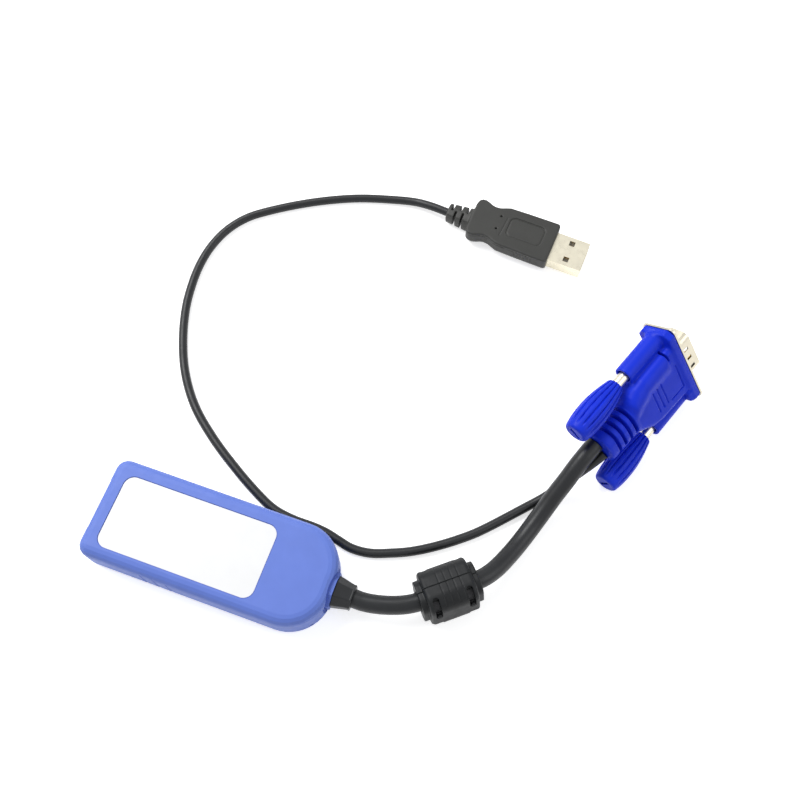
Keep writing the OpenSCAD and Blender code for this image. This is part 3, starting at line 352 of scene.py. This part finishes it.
def skin(name, field, low, step, place, material):
    """Mesh of the surface where the field is zero, one vertex in each cell that it crosses."""
    shape = np.array(field.shape)
    cells = shape - 1
    ids, spots, quads = [], [], []
    for axis in range(3):
        head = [slice(None)] * 3
        tail = [slice(None)] * 3
        head[axis] = slice(0, -1)
        tail[axis] = slice(1, None)
        a, b = field[tuple(head)], field[tuple(tail)]
        edges = np.argwhere((a < 0) != (b < 0))
        va, vb = a[tuple(edges.T)], b[tuple(edges.T)]
        spot = edges.astype(np.float64)
        spot[:, axis] += va / (va - vb)
        u, v = (axis + 1) % 3, (axis + 2) % 3
        inner = (edges[:, u] > 0) & (edges[:, v] > 0) & (edges[:, u] < cells[u]) & (edges[:, v] < cells[v])
        edges, spot, falling = edges[inner], spot[inner], (va < 0)[inner]
        corners = []
        for du, dv in ((1, 1), (0, 1), (0, 0), (1, 0)):
            cell = edges.copy()
            cell[:, u] -= du
            cell[:, v] -= dv
            corners.append((cell[:, 0] * cells[1] + cell[:, 1]) * cells[2] + cell[:, 2])
            ids.append(corners[-1])
            spots.append(spot)
        quad = np.stack(corners, axis=1)
        quad[~falling] = quad[~falling][:, ::-1]
        quads.append(quad)
    ids = np.concatenate(ids)
    spots = np.concatenate(spots)
    quads = np.concatenate(quads)
    used, index = np.unique(ids, return_inverse=True)
    count = np.bincount(index)
    points = np.stack([np.bincount(index, spots[:, i]) / count for i in range(3)], axis=1)
    points = (points * step + np.array(low)) * MM
    place_m = np.array(place)
    points = points @ place_m[:3, :3].T + place_m[:3, 3] * MM
    faces = np.searchsorted(used, quads)
    mesh = bpy.data.meshes.new(name)
    mesh.vertices.add(len(points))
    mesh.vertices.foreach_set("co", points.astype(np.float32).ravel())
    mesh.loops.add(faces.size)
    mesh.loops.foreach_set("vertex_index", faces.astype(np.int32).ravel())
    mesh.polygons.add(len(faces))
    mesh.polygons.foreach_set("loop_start", np.arange(0, faces.size, 4, dtype=np.int32))
    mesh.polygons.foreach_set("use_smooth", np.ones(len(faces), dtype=bool))
    mesh.update(calc_edges=True)
    mesh.validate()
    mesh.materials.append(material)
    obj = bpy.data.objects.new(name, mesh)
    bpy.context.scene.collection.objects.link(obj)
    return obj


def rounded(dx, dy, half_x, half_y, radius):
    """Distance to a rectangle with round corners, from offsets to its centre."""
    qx = np.abs(dx) - (half_x - radius)
    qy = np.abs(dy) - (half_y - radius)
    outside = np.hypot(np.maximum(qx, 0), np.maximum(qy, 0))
    return outside + np.minimum(np.maximum(qx, qy), 0) - radius


def slab(x, low, high):
    return np.maximum(low - x, x - high)


def both(a, b, blend=0.0):
    """Where two fields overlap, with the edge between them rounded."""
    if not blend:
        return np.maximum(a, b)
    return -either(-a, -b, blend)


def either(a, b, blend=0.0):
    """Union of two fields, with the corner between them filled."""
    if not blend:
        return np.minimum(a, b)
    share = np.maximum(blend - np.abs(a - b), 0) / blend
    return np.minimum(a, b) - share * share * blend / 4


def less(a, b, blend=0.0):
    """Field a with b cut out of it."""
    return both(a, -b, blend)


def bar(x, y, z, x0, x1, y0, y1, z0, z1, radius=0.2):
    """Box between limits, with round edges."""
    qx = slab(x, x0 + radius, x1 - radius)
    qy = slab(y, y0 + radius, y1 - radius)
    qz = slab(z, z0 + radius, z1 - radius)
    outside = np.sqrt(np.maximum(qx, 0) ** 2 + np.maximum(qy, 0) ** 2 + np.maximum(qz, 0) ** 2)
    return outside + np.minimum(np.maximum(np.maximum(qx, qy), qz), 0) - radius


def stroke(x, y, ax, ay, bx, by):
    """Distance in a plane to the line between two points."""
    px, py = x - ax, y - ay
    dx, dy = bx - ax, by - ay
    share = np.clip((px * dx + py * dy) / (dx * dx + dy * dy), 0, 1)
    return np.hypot(px - share * dx, py - share * dy)


# Blue hood of the video plug: x along its flange, y across it, z out of its face
HOOD_STEP, HOOD_LOW, HOOD_HIGH = 0.2, (-17, -7.6, -41.4), (17, 7.6, 0.4)
FLANGE_W, FLANGE_H, FLANGE_CLIP = 30.8, 12.5, 1.9
FLANGE_BACK, FLANGE_FRONT, FLANGE_EDGE = -3.5, -0.7, 0.7
# The body's sides, half height and corner radius at places along z
BODY_Z = [-27.4, -27.0, -26.1, -24.2, -21.4, -17.6, -11.7, -5.8, -3.0]
BODY_LEFT = [-6.3, -6.2, -6.9, -8.3, -9.4, -9.8, -9.9, -10.0, -10.2]
BODY_RIGHT = [6.3, 6.2, 6.4, 7.0, 8.4, 9.3, 9.5, 9.7, 9.9]
BODY_HALF = [5.5, 5.5, 5.45, 5.45, 5.5, 5.5, 5.5, 5.5, 5.55]
BODY_CORNER = [5.0, 4.8, 4.2, 3.2, 2.5, 2.2, 2.0, 1.9, 1.9]
BODY_BACK, BODY_FRONT, BODY_EDGE = -27.4, -2.2, 0.3
# A ridge on each flat face, beside the upper screw tube
RIDGE_Z = [-27, -23, -18, -4]
RIDGE_X = [-3.4, -4.6, -6.4, -6.4]
RIDGE_Y, RIDGE_RADIUS, RIDGE_BACK, RIDGE_FRONT = 3.2, 3.1, -25.5, -7.0
RIDGE_EDGE, RIDGE_FILLET = 1.2, 1.4
TUBE_RADIUS, TUBE_BACK, TUBE_FRONT, TUBE_EDGE = 3.15, -20.0, -2.6, 0.35
TUBE_FILLET, FLANGE_FILLET = 1.3, 1.1
# Limits in x, y and z and the edge radius of the side groove and of the foot
SIDE_GROOVE, SIDE_GROOVE_EDGE = (-10.6, -6.7, 1.8, 9, -6.7, -5.9, 0.25), 0.3
FOOT, FOOT_FILLET = (9.3, 13.6, -5.9, 5.9, -5.1, -2.4, 0.8), 0.8
# The boot's half sizes and corner radius, and those of the core that its slots leave
BOOT_OVAL, BOOT_TAPER_SHARE, BOOT_CORE = (6.3, 5.5, 5.3), 0.07, (3.7, 3.1, 3.0)
BOOT_BACK, BOOT_FRONT, BOOT_OVERLAP, BOOT_EDGE, BOOT_FILLET = -40.0, -27.0, 1.0, 0.9, 0.5
SLOT_COUNT, SLOT_START, SLOT_PITCH, SLOT_HALF, SLOT_EDGE = 4, 1.0, 2.75, 0.6, 0.25
BRIDGE_X, BRIDGE_HALF = (3.9, 6.0), 0.6
# Engraved strokes of both flat faces, each from x and z to x and z
ENGRAVED = (
    (-3.6, -4.7, 5.7, -5.0), (5.7, -5.0, 5.5, -11.4), (-3.2, -12.9, 4.9, -13.1), (-3.2, -15.0, 4.9, -15.2),
    (-3.2, -17.1, 4.9, -17.3),
)
FACE_Y, ENGRAVED_HALF, ENGRAVED_DEPTH = 5.5, 0.25, 0.36
# Screw holes, wider in front
HOLE_BACK_RADIUS, HOLE_BACK_END, HOLE_BACK_EDGE = 2.25, -9.0, 0.15
HOLE_FRONT_RADIUS, HOLE_FRONT_START = 2.4, -10.0
SEAT, SEAT_BACK = (9.2, 4.5, 2.2), -5.1


def hood():
    x, y, z = grid(HOOD_LOW, HOOD_HIGH, HOOD_STEP)
    # Flange with clipped corners
    clipped = (np.abs(x) + np.abs(y) - (FLANGE_W / 2 + FLANGE_H / 2 - FLANGE_CLIP)) / math.sqrt(2)
    outline = np.maximum(np.maximum(np.abs(x) - FLANGE_W / 2, np.abs(y) - FLANGE_H / 2), clipped)
    flange = both(outline, slab(z, FLANGE_BACK, FLANGE_FRONT), FLANGE_EDGE)
    # Body, from the flange to the boot
    x0, x1 = np.interp(z, BODY_Z, BODY_LEFT), np.interp(z, BODY_Z, BODY_RIGHT)
    half, corner = np.interp(z, BODY_Z, BODY_HALF), np.interp(z, BODY_Z, BODY_CORNER)
    section = rounded(x - (x0 + x1) / 2, y, (x1 - x0) / 2, half, corner)
    body = both(section, slab(z, BODY_BACK, BODY_FRONT), BODY_EDGE)
    ridge_x = np.interp(z, RIDGE_Z, RIDGE_X)
    for side in (-1, 1):
        ridge = np.hypot(x - ridge_x, y - side * RIDGE_Y) - RIDGE_RADIUS
        ridge = both(ridge, slab(z, RIDGE_BACK, RIDGE_FRONT), RIDGE_EDGE)
        body = either(body, ridge, RIDGE_FILLET)
    # Both screw tubes
    from_screw = np.hypot(np.abs(x) - SCREW_X, y)
    tubes = both(from_screw - TUBE_RADIUS, slab(z, TUBE_BACK, TUBE_FRONT), TUBE_EDGE)
    shape = either(body, tubes, TUBE_FILLET)
    shape = either(shape, flange, FLANGE_FILLET)
    # Groove between the ridge's end and the block behind the flange, round the side that faces the tube
    shape = less(shape, bar(x, np.abs(y), z, *SIDE_GROOVE), SIDE_GROOVE_EDGE)
    # Foot behind the flange's lower corner
    shape = either(shape, bar(x, y, z, *FOOT), FOOT_FILLET)
    # Boot: an oval sleeve with staggered slots
    share = np.clip((BOOT_FRONT - z) / (BOOT_FRONT - BOOT_BACK), 0, 1)
    size = 1 - BOOT_TAPER_SHARE * share
    oval = rounded(x, y, *(v * size for v in BOOT_OVAL))
    boot = both(oval, slab(z, BOOT_BACK, BOOT_FRONT + BOOT_OVERLAP), BOOT_EDGE)
    shape = either(shape, boot, BOOT_FILLET)
    core = rounded(x, y, *BOOT_CORE)
    for i in range(SLOT_COUNT):
        middle = BOOT_FRONT - SLOT_START - i * SLOT_PITCH
        slot = np.maximum(slab(z, middle - SLOT_HALF, middle + SLOT_HALF), -core)
        bridge = np.abs(x - BRIDGE_X[i % 2]) - BRIDGE_HALF
        shape = less(shape, np.maximum(slot, -bridge), SLOT_EDGE)
    # Engraved lines on both flat faces
    lines = np.minimum.reduce([stroke(x, z, *line) for line in ENGRAVED])
    shape = less(shape, np.maximum(lines - ENGRAVED_HALF, FACE_Y - ENGRAVED_DEPTH - np.abs(y)))
    # Screw holes
    shape = less(shape, np.maximum(from_screw - HOLE_BACK_RADIUS, z - HOLE_BACK_END), HOLE_BACK_EDGE)
    shape = less(shape, np.maximum(from_screw - HOLE_FRONT_RADIUS, HOLE_FRONT_START - z))
    # Seat of the insulator
    shape = less(shape, np.maximum(rounded(x, y, *SEAT), SEAT_BACK - z))
    piece = skin("hood", shape, HOOD_LOW, HOOD_STEP, PLUG, PLUG_BLUE)
    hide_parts("vga_hood")
    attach(piece, ROOT)
    return piece


# Thumb grips
KNOB_STEP, KNOB_LOW, KNOB_HIGH = 0.14, (-5.2, -5.2, -46), (5.2, 5.2, -22.8)
KNOB_FRONT, KNOB_LENGTH, KNOB_EDGE, KNOB_SLOPE_SHARE = -23.8, 21.0, 0.9, 0.9
# Radius at shares of the length, from the front
KNOB_SHARES = [0, 0.03, 0.1, 0.2, 0.32, 0.45, 0.58, 0.7, 0.82, 0.92, 1]
KNOB_RADII = [2.7, 2.85, 3.2, 3.68, 4.15, 4.5, 4.65, 4.63, 4.45, 4.15, 3.75]
# Flutes: the crests between them are flat, and both ends fade out
FLUTES, FLUTE_DEPTH, FLUTE_TURN_SHARE, CREST_SHARE = 14, 0.7, 0.25, 0.58
FLUTE_END_SHARE, FLUTE_FADE_SHARE, FLUTE_START_SHARE = 0.93, 0.14, 0.03
KNOB_BORE_RADIUS, KNOB_BORE_BACK = 1.86, -44.0
END_SLOT_HALF_WIDE, END_SLOT_HALF_LONG, END_SLOT_FLOOR = 0.45, 2.1, -43.6
UPPER_SLOT_TURN, LOWER_SLOT_TURN = 70, 155


def thumb_grip(name, side, node, body, slot_turn):
    x, y, z = grid(KNOB_LOW, KNOB_HIGH, KNOB_STEP)
    share = np.clip((KNOB_FRONT - z) / KNOB_LENGTH, 0, 1)
    radius = np.interp(share, KNOB_SHARES, KNOB_RADII)
    around = np.hypot(x, y)
    turns = np.arctan2(y, x) * FLUTES / (2 * math.pi) + FLUTE_TURN_SHARE
    wave = np.abs((turns % 1) - 0.5) * 2
    flute = np.clip((wave - CREST_SHARE) / (1 - CREST_SHARE), 0, 1)
    fade = np.clip((FLUTE_END_SHARE - share) / FLUTE_FADE_SHARE, 0, 1)
    fade = fade * np.clip(share / FLUTE_START_SHARE + 0.5, 0, 1)
    round_side = (around - radius + FLUTE_DEPTH * flute * fade) * KNOB_SLOPE_SHARE
    grip = both(round_side, slab(z, KNOB_FRONT - KNOB_LENGTH, KNOB_FRONT), KNOB_EDGE)
    grip = less(grip, np.maximum(around - KNOB_BORE_RADIUS, KNOB_BORE_BACK - z))
    # Driver slot in the end
    turn = math.radians(slot_turn)
    across = x * math.cos(turn) + y * math.sin(turn)
    along = y * math.cos(turn) - x * math.sin(turn)
    slot = np.maximum(np.abs(across) - END_SLOT_HALF_WIDE, np.abs(along) - END_SLOT_HALF_LONG)
    grip = less(grip, np.maximum(slot, z - END_SLOT_FLOOR))
    place = PLUG @ Matrix.Translation((side * SCREW_X, 0, 0))
    piece = skin(name, grip, KNOB_LOW, KNOB_STEP, place, PLUG_BLUE)
    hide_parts(node)
    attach(piece, body)
    return piece


# Ferrite clamp: x along the cable, y out of the far half, z towards the hinge
CLAMP_STEP, CLAMP_X, CLAMP_OUT, CLAMP_OVER = 0.19, 10.6, 8.6, 0.6
# Half size and corner radius of the section, half length, edge radius
BLOCK_HALF, BLOCK_CORNER, BLOCK_END, BLOCK_EDGE = 7.4, 4.9, 7.7, 1.3
NECK_HALF, NECK_CORNER, NECK_END, NECK_EDGE, NECK_FILLET = 5.55, 3.8, 9.5, 0.35, 0.25
RIB_LINES, RIB_PITCH, RIB_SHIFT, RIB_HALF, RIB_DEPTH, RIB_LOWEST = 4, 2.1, 0.7, 0.14, 0.15, 5.0
# Windows: place, half sizes and corner radius, then by side their floor's height and their turn from the top
WINDOW_X, WINDOW, WINDOW_EDGE = 5.3, (0.95, 3.7, 0.9), 0.2
WINDOW_FLOOR = {1: 6.6, -1: 6.1}
WINDOW_TURN = {1: 76, -1: 56}
# Hook at a window's lower end, and notch under each end of the lower edge: limits and edge radius
HOOK_HALF, HOOK = 0.6, (2.3, 3.3, 5.8, 7.3, 0.3)
NOTCH_X, NOTCH, NOTCH_EDGE = (4.3, 8.2), (5.9, 9.0, -8.4, -3.2, 0.3), 0.15
SPLIT_GAP, SPLIT_EDGE, CLAMP_BORE_RADIUS, CORE_POCKET_RADIUS, CORE_POCKET_END = 0.03, 0.14, 3.3, 6.3, 7.03


def clamp_half(name, side, node, body):
    across = sorted((-side * CLAMP_OVER, side * CLAMP_OUT))
    low = (-CLAMP_X, across[0], -CLAMP_OUT)
    high = (CLAMP_X, across[1], CLAMP_OUT)
    x, y, z = grid(low, high, CLAMP_STEP)
    section = rounded(y, z, BLOCK_HALF, BLOCK_HALF, BLOCK_CORNER)
    block = both(section, np.abs(x) - BLOCK_END, BLOCK_EDGE)
    necks = both(rounded(y, z, NECK_HALF, NECK_HALF, NECK_CORNER), np.abs(x) - NECK_END, NECK_EDGE)
    shape = either(block, necks, NECK_FILLET)
    # Shallow lines over the top
    for i in range(RIB_LINES):
        at = (i - (RIB_LINES - 1) / 2) * RIB_PITCH + RIB_SHIFT
        line = np.maximum(np.abs(x - at) - RIB_HALF, -(section + RIB_DEPTH))
        shape = less(shape, np.maximum(line, RIB_LOWEST - z))
    # Two long windows with round ends over the shoulder, each with a hook, and the notches below them
    out = side * y
    turn = math.radians(WINDOW_TURN[side])
    away = z * math.cos(turn) + out * math.sin(turn)
    down = out * math.cos(turn) - z * math.sin(turn)
    for end in (-1, 1):
        middle = end * WINDOW_X
        window = np.maximum(rounded(x - middle, down, *WINDOW), WINDOW_FLOOR[side] - away)
        shape = less(shape, window, WINDOW_EDGE)
        shape = either(shape, bar(x, down, away, middle - HOOK_HALF, middle + HOOK_HALF, *HOOK))
        notch = bar(x, out, z, *sorted(end * v for v in NOTCH_X), *NOTCH)
        shape = less(shape, notch, NOTCH_EDGE)
    # Flat where the halves meet, round bore and core pocket
    shape = both(shape, SPLIT_GAP - out, SPLIT_EDGE)
    shape = less(shape, np.hypot(y, z) - CLAMP_BORE_RADIUS)
    shape = less(shape, np.maximum(np.hypot(y, z) - CORE_POCKET_RADIUS, np.abs(x) - CORE_POCKET_END))
    piece = skin(name, shape, low, CLAMP_STEP, FERRITE, CLAMP)
    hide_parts(node)
    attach(piece, body)
    return piece


# USB grip: x out of its face, z up from the table
USB_STEP, USB_LOW, USB_HIGH = 0.2, (-41.2, -9.2, -0.6), (1.0, 9.2, 8.2)
GRIP_LENGTH, GRIP_Z, GRIP_FLOOR, GRIP_TOP, GRIP_SEAM = 31.0, 3.75, 0.02, 7.9, 3.6
# Half width at shares of the length, from the back; it narrows below the seam
GRIP_SHARES = [0, 0.02, 0.05, 0.09, 0.14, 0.18, 0.22, 0.28, 0.34, 0.39, 0.6, 0.8, 0.97, 1]
GRIP_HALF = [6.0, 7.2, 7.8, 7.9, 7.4, 6.8, 6.5, 6.7, 7.5, 8.1, 8.3, 8.4, 8.45, 8.4]
GRIP_NARROWS_SHARE, GRIP_SLOPE_SHARE, GRIP_END_EDGE, GRIP_TOP_EDGE = 0.55, 0.9, 1.2, 0.7
STEP_DROP, STEP_HALF_DEEP, STEP_HALF_HIGH = 1.0, 0.2, 0.1
GRIP_RIBS, GRIP_RIB_START, GRIP_RIB_PITCH, GRIP_RIB_OUT, GRIP_RIB_RADIUS = 6, -11.6, 1.2, 0.12, 0.42
GRIP_RIB_LOWEST, GRIP_RIB_DROP = 2.2, 1.2
# Frame on the top: its middle, half sizes and corner radius; the field inside it, a cross line, small holes
FRAME_AT, FRAME, FRAME_HALF, FRAME_DEPTH = (-10.7, 0.5), (6.4, 4.0, 1.9), 0.18, 0.3
FIELD, FIELD_DEPTH, FIELD_EDGE = (6.2, 3.8, 1.7), 0.12, 0.1
CROSS_LINE, CROSS_HALF, CROSS_DEPTH = (-18.9, -4.4, -18.4, 3.4), 0.14, 0.2
PIN_HOLE_X, PIN_HOLES_Y, PIN_HOLE_RADIUS, PIN_HOLE_DEPTH = -20.9, (-2.2, 3.3), 0.42, 0.8
RELIEF_BACK, RELIEF_FRONT, RELIEF_HALF, RELIEF_TAPER = -40.0, -30.0, 3.85, 0.9
RELIEF_EDGE, RELIEF_FILLET = 0.7, 0.6
# Slots of the relief: place, side they come in from and how near to the middle they reach
RELIEF_SLOTS = ((-32.6, 1, 0.0), (-34.0, -1, 0.4), (-35.3, 1, 0.4), (-36.7, -1, 0.4), (-38.3, 1, -0.4))
RELIEF_SLOT_HALF, RELIEF_CORE_RADIUS, RELIEF_SLOT_EDGE = 0.36, 2.0, 0.15
POCKET_HALF_Y, POCKET_HALF_Z, POCKET_BACK = 6.06, 2.31, -7.0


def usb_grip():
    x, y, z = grid(USB_LOW, USB_HIGH, USB_STEP)
    share = np.clip((x + GRIP_LENGTH) / GRIP_LENGTH, 0, 1)
    width = np.interp(share, GRIP_SHARES, GRIP_HALF) - GRIP_NARROWS_SHARE * np.maximum(GRIP_SEAM - z, 0)
    sides = (np.abs(y) - width) * GRIP_SLOPE_SHARE
    block = both(sides, slab(x, -GRIP_LENGTH, 0), GRIP_END_EDGE)
    block = both(block, slab(z, GRIP_FLOOR, GRIP_TOP), GRIP_TOP_EDGE)
    # Fine step between the flat top and the sides
    from_side = np.abs(np.abs(y) - width) - STEP_HALF_DEEP
    groove = np.maximum(from_side, np.abs(z - GRIP_TOP + STEP_DROP) - STEP_HALF_HIGH)
    block = less(block, groove)
    # Ribs on both sides
    for i in range(GRIP_RIBS):
        from_x = x - GRIP_RIB_START - i * GRIP_RIB_PITCH
        rib = np.hypot(from_x, np.abs(y) - width - GRIP_RIB_OUT) - GRIP_RIB_RADIUS
        block = less(block, np.maximum(rib, slab(z, GRIP_RIB_LOWEST, GRIP_TOP - GRIP_RIB_DROP)))
    # Recessed frame, cross line and two small holes on the top
    from_x, from_y = x - FRAME_AT[0], y - FRAME_AT[1]
    ring = np.abs(rounded(from_x, from_y, *FRAME)) - FRAME_HALF
    block = less(block, np.maximum(ring, GRIP_TOP - FRAME_DEPTH - z))
    field = np.maximum(rounded(from_x, from_y, *FIELD), GRIP_TOP - FIELD_DEPTH - z)
    block = less(block, field, FIELD_EDGE)
    block = less(block, np.maximum(stroke(x, y, *CROSS_LINE) - CROSS_HALF, GRIP_TOP - CROSS_DEPTH - z))
    for hole_y in PIN_HOLES_Y:
        hole = np.hypot(x - PIN_HOLE_X, y - hole_y) - PIN_HOLE_RADIUS
        block = less(block, np.maximum(hole, GRIP_TOP - PIN_HOLE_DEPTH - z))
    # Relief: a tapered sleeve with slots that come in from either side by turns
    taper = np.clip((RELIEF_FRONT - x) / (RELIEF_FRONT - RELIEF_BACK), 0, 1)
    up = z - GRIP_Z
    relief = (np.hypot(y, up) + np.maximum(np.abs(y), np.abs(up))) / 2 - (RELIEF_HALF - RELIEF_TAPER * taper)
    relief = both(relief, slab(x, RELIEF_BACK, RELIEF_FRONT), RELIEF_EDGE)
    for at_x, way, reach in RELIEF_SLOTS:
        slot = np.maximum(np.abs(x - at_x) - RELIEF_SLOT_HALF, reach - way * y)
        relief = less(relief, np.maximum(slot, RELIEF_CORE_RADIUS - np.hypot(y, up)), RELIEF_SLOT_EDGE)
    shape = either(block, relief, RELIEF_FILLET)
    # Pocket of the steel shell
    pocket = np.maximum(np.abs(y) - POCKET_HALF_Y, np.abs(up) - POCKET_HALF_Z)
    shape = less(shape, np.maximum(pocket, POCKET_BACK - x))
    piece = skin("usb_grip", shape, USB_LOW, USB_STEP, USB, USB_BLACK)
    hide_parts("usb_overmold")
    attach(piece, ROOT)
    return piece


# Strain relief of the housing: eight sided, with a wide flat top and a square end
SLEEVE_STEP, SLEEVE_LOW, SLEEVE_HIGH = 0.16, (34.4, -5.6, 1.9), (45.4, 5.6, 13.1)
SLEEVE_HALF, SLEEVE_TAPER, SLEEVE_END, SLEEVE_EDGE, SLANT_SHARE = 4.75, 1.2, 44.6, 0.25, 1.02
LIP_START, LIP_OUT, LIP_EDGE = 44.0, 0.12, 0.1
SLEEVE_NECK_RADIUS, SLEEVE_NECK_START, SLEEVE_NECK_END = 3.6, 35.3, 39.2
INNER_FLANGE_HALF, INNER_FLANGE_START, INNER_FLANGE_END, INNER_FLANGE_EDGE = 4.1, 35.45, 36.75, 0.2


def relief_sleeve():
    x, y, z = grid(SLEEVE_LOW, SLEEVE_HIGH, SLEEVE_STEP)
    share = np.clip((x - COLLAR_X) / (SLEEVE_END - COLLAR_X), 0, 1)
    half = SLEEVE_HALF - SLEEVE_TAPER * share
    up = z - CABLE_Z
    flat = np.maximum(np.abs(y), np.abs(up)) - half
    slant = (np.abs(y) + np.abs(up)) / math.sqrt(2) - half * SLANT_SHARE
    sleeve = both(both(flat, slant, SLEEVE_EDGE), slab(x, COLLAR_X, SLEEVE_END), SLEEVE_EDGE)
    lip = both(np.maximum(flat, slant) - LIP_OUT, slab(x, LIP_START, SLEEVE_END), LIP_EDGE)
    sleeve = either(sleeve, lip)
    neck = np.maximum(np.hypot(y, up) - SLEEVE_NECK_RADIUS, slab(x, SLEEVE_NECK_START, SLEEVE_NECK_END))
    flange = bar(x, y, up, INNER_FLANGE_START, INNER_FLANGE_END, -INNER_FLANGE_HALF, INNER_FLANGE_HALF,
                 -INNER_FLANGE_HALF, INNER_FLANGE_HALF, INNER_FLANGE_EDGE)
    shape = either(sleeve, either(neck, flange))
    piece = skin("relief_sleeve", shape, SLEEVE_LOW, SLEEVE_STEP, LEVEL, CABLE)
    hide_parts("strain_relief")
    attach(piece, ROOT)
    return piece


hood_piece = hood()
upper_grip = thumb_grip("upper_grip", -1, "upper_knob", "upper_screw", UPPER_SLOT_TURN)
lower_grip = thumb_grip("lower_grip", 1, "lower_knob", "lower_screw", LOWER_SLOT_TURN)
far_half = clamp_half("clamp_far", 1, "ferrite_case", ROOT)
near_half = clamp_half("clamp_near", -1, "ferrite_lid", "lid")
grip_piece = usb_grip()
sleeve_piece = relief_sleeve()


# Floor and light
FLOOR_HALF, FLOOR_DROP, FLOOR_ROUGHNESS = 3.0, 0.02, 0.9
FLOOR_COLOUR = (0.93, 0.93, 0.93, 1)
FLOOR_GLOW = 0.63
WORLD_COLOUR = (0.97, 0.98, 1, 1)
WORLD_LIGHT = 0.36
LIT_PLACE = (0.04, 0.06, 0)
# Lights: name, place and size in metres, power in watts
LIGHTS = (("key", (-0.5, 0.3, 0.75), (0.7, 0.5), 7.9), ("fill", (0.6, 0.1, 0.5), (0.5, 0.5), 1.2))


def seen_strength(tree, plain, seen):
    """One strength for rays that light the object, another where the camera, a gloss or a glass sees it."""
    path = tree.nodes.new("ShaderNodeLightPath")
    ray = path.outputs["Is Camera Ray"]
    for kind in ("Is Glossy Ray", "Is Transmission Ray"):
        largest = tree.nodes.new("ShaderNodeMath")
        largest.operation = "MAXIMUM"
        tree.links.new(ray, largest.inputs[0])
        tree.links.new(path.outputs[kind], largest.inputs[1])
        ray = largest.outputs[0]
    strength = tree.nodes.new("ShaderNodeMapRange")
    strength.inputs["To Min"].default_value = plain
    strength.inputs["To Max"].default_value = seen
    tree.links.new(ray, strength.inputs["Value"])
    return strength.outputs["Result"]


def surroundings():
    world = bpy.data.worlds.new("world")
    world.use_nodes = True
    background = world.node_tree.nodes["Background"]
    background.inputs["Color"].default_value = WORLD_COLOUR
    world.node_tree.links.new(seen_strength(world.node_tree, WORLD_LIGHT, 1), background.inputs["Strength"])
    bpy.context.scene.world = world


def floor():
    size = FLOOR_HALF
    mesh = bpy.data.meshes.new("floor")
    corners = [(-size, -size, 0), (size, -size, 0), (size, size, 0), (-size, size, 0)]
    mesh.from_pydata(corners, [], [(0, 1, 2, 3)])
    obj = bpy.data.objects.new("floor", mesh)
    bpy.context.scene.collection.objects.link(obj)
    obj.location.z = -FLOOR_DROP * MM
    material = bpy.data.materials.new("floor")
    material.use_nodes = True
    tree = material.node_tree
    shader = tree.nodes["Principled BSDF"]
    shader.inputs["Base Color"].default_value = FLOOR_COLOUR
    shader.inputs["Roughness"].default_value = FLOOR_ROUGHNESS
    shader.inputs["Specular IOR Level"].default_value = 0.0
    shader.inputs["Emission Color"].default_value = (1, 1, 1, 1)
    tree.links.new(seen_strength(tree, 0, FLOOR_GLOW), shader.inputs["Emission Strength"])
    mesh.materials.append(material)


def area(name, at, size, power):
    data = bpy.data.lights.new(name, "AREA")
    data.shape = "RECTANGLE"
    data.size, data.size_y = size
    data.energy = power
    obj = bpy.data.objects.new(name, data)
    bpy.context.scene.collection.objects.link(obj)
    obj.location = at
    obj.rotation_euler = (Vector(LIT_PLACE) - Vector(at)).to_track_quat("-Z", "Y").to_euler()


floor()
for light in LIGHTS:
    area(*light)
surroundings()
bpy.context.scene.view_settings.view_transform = "Standard"
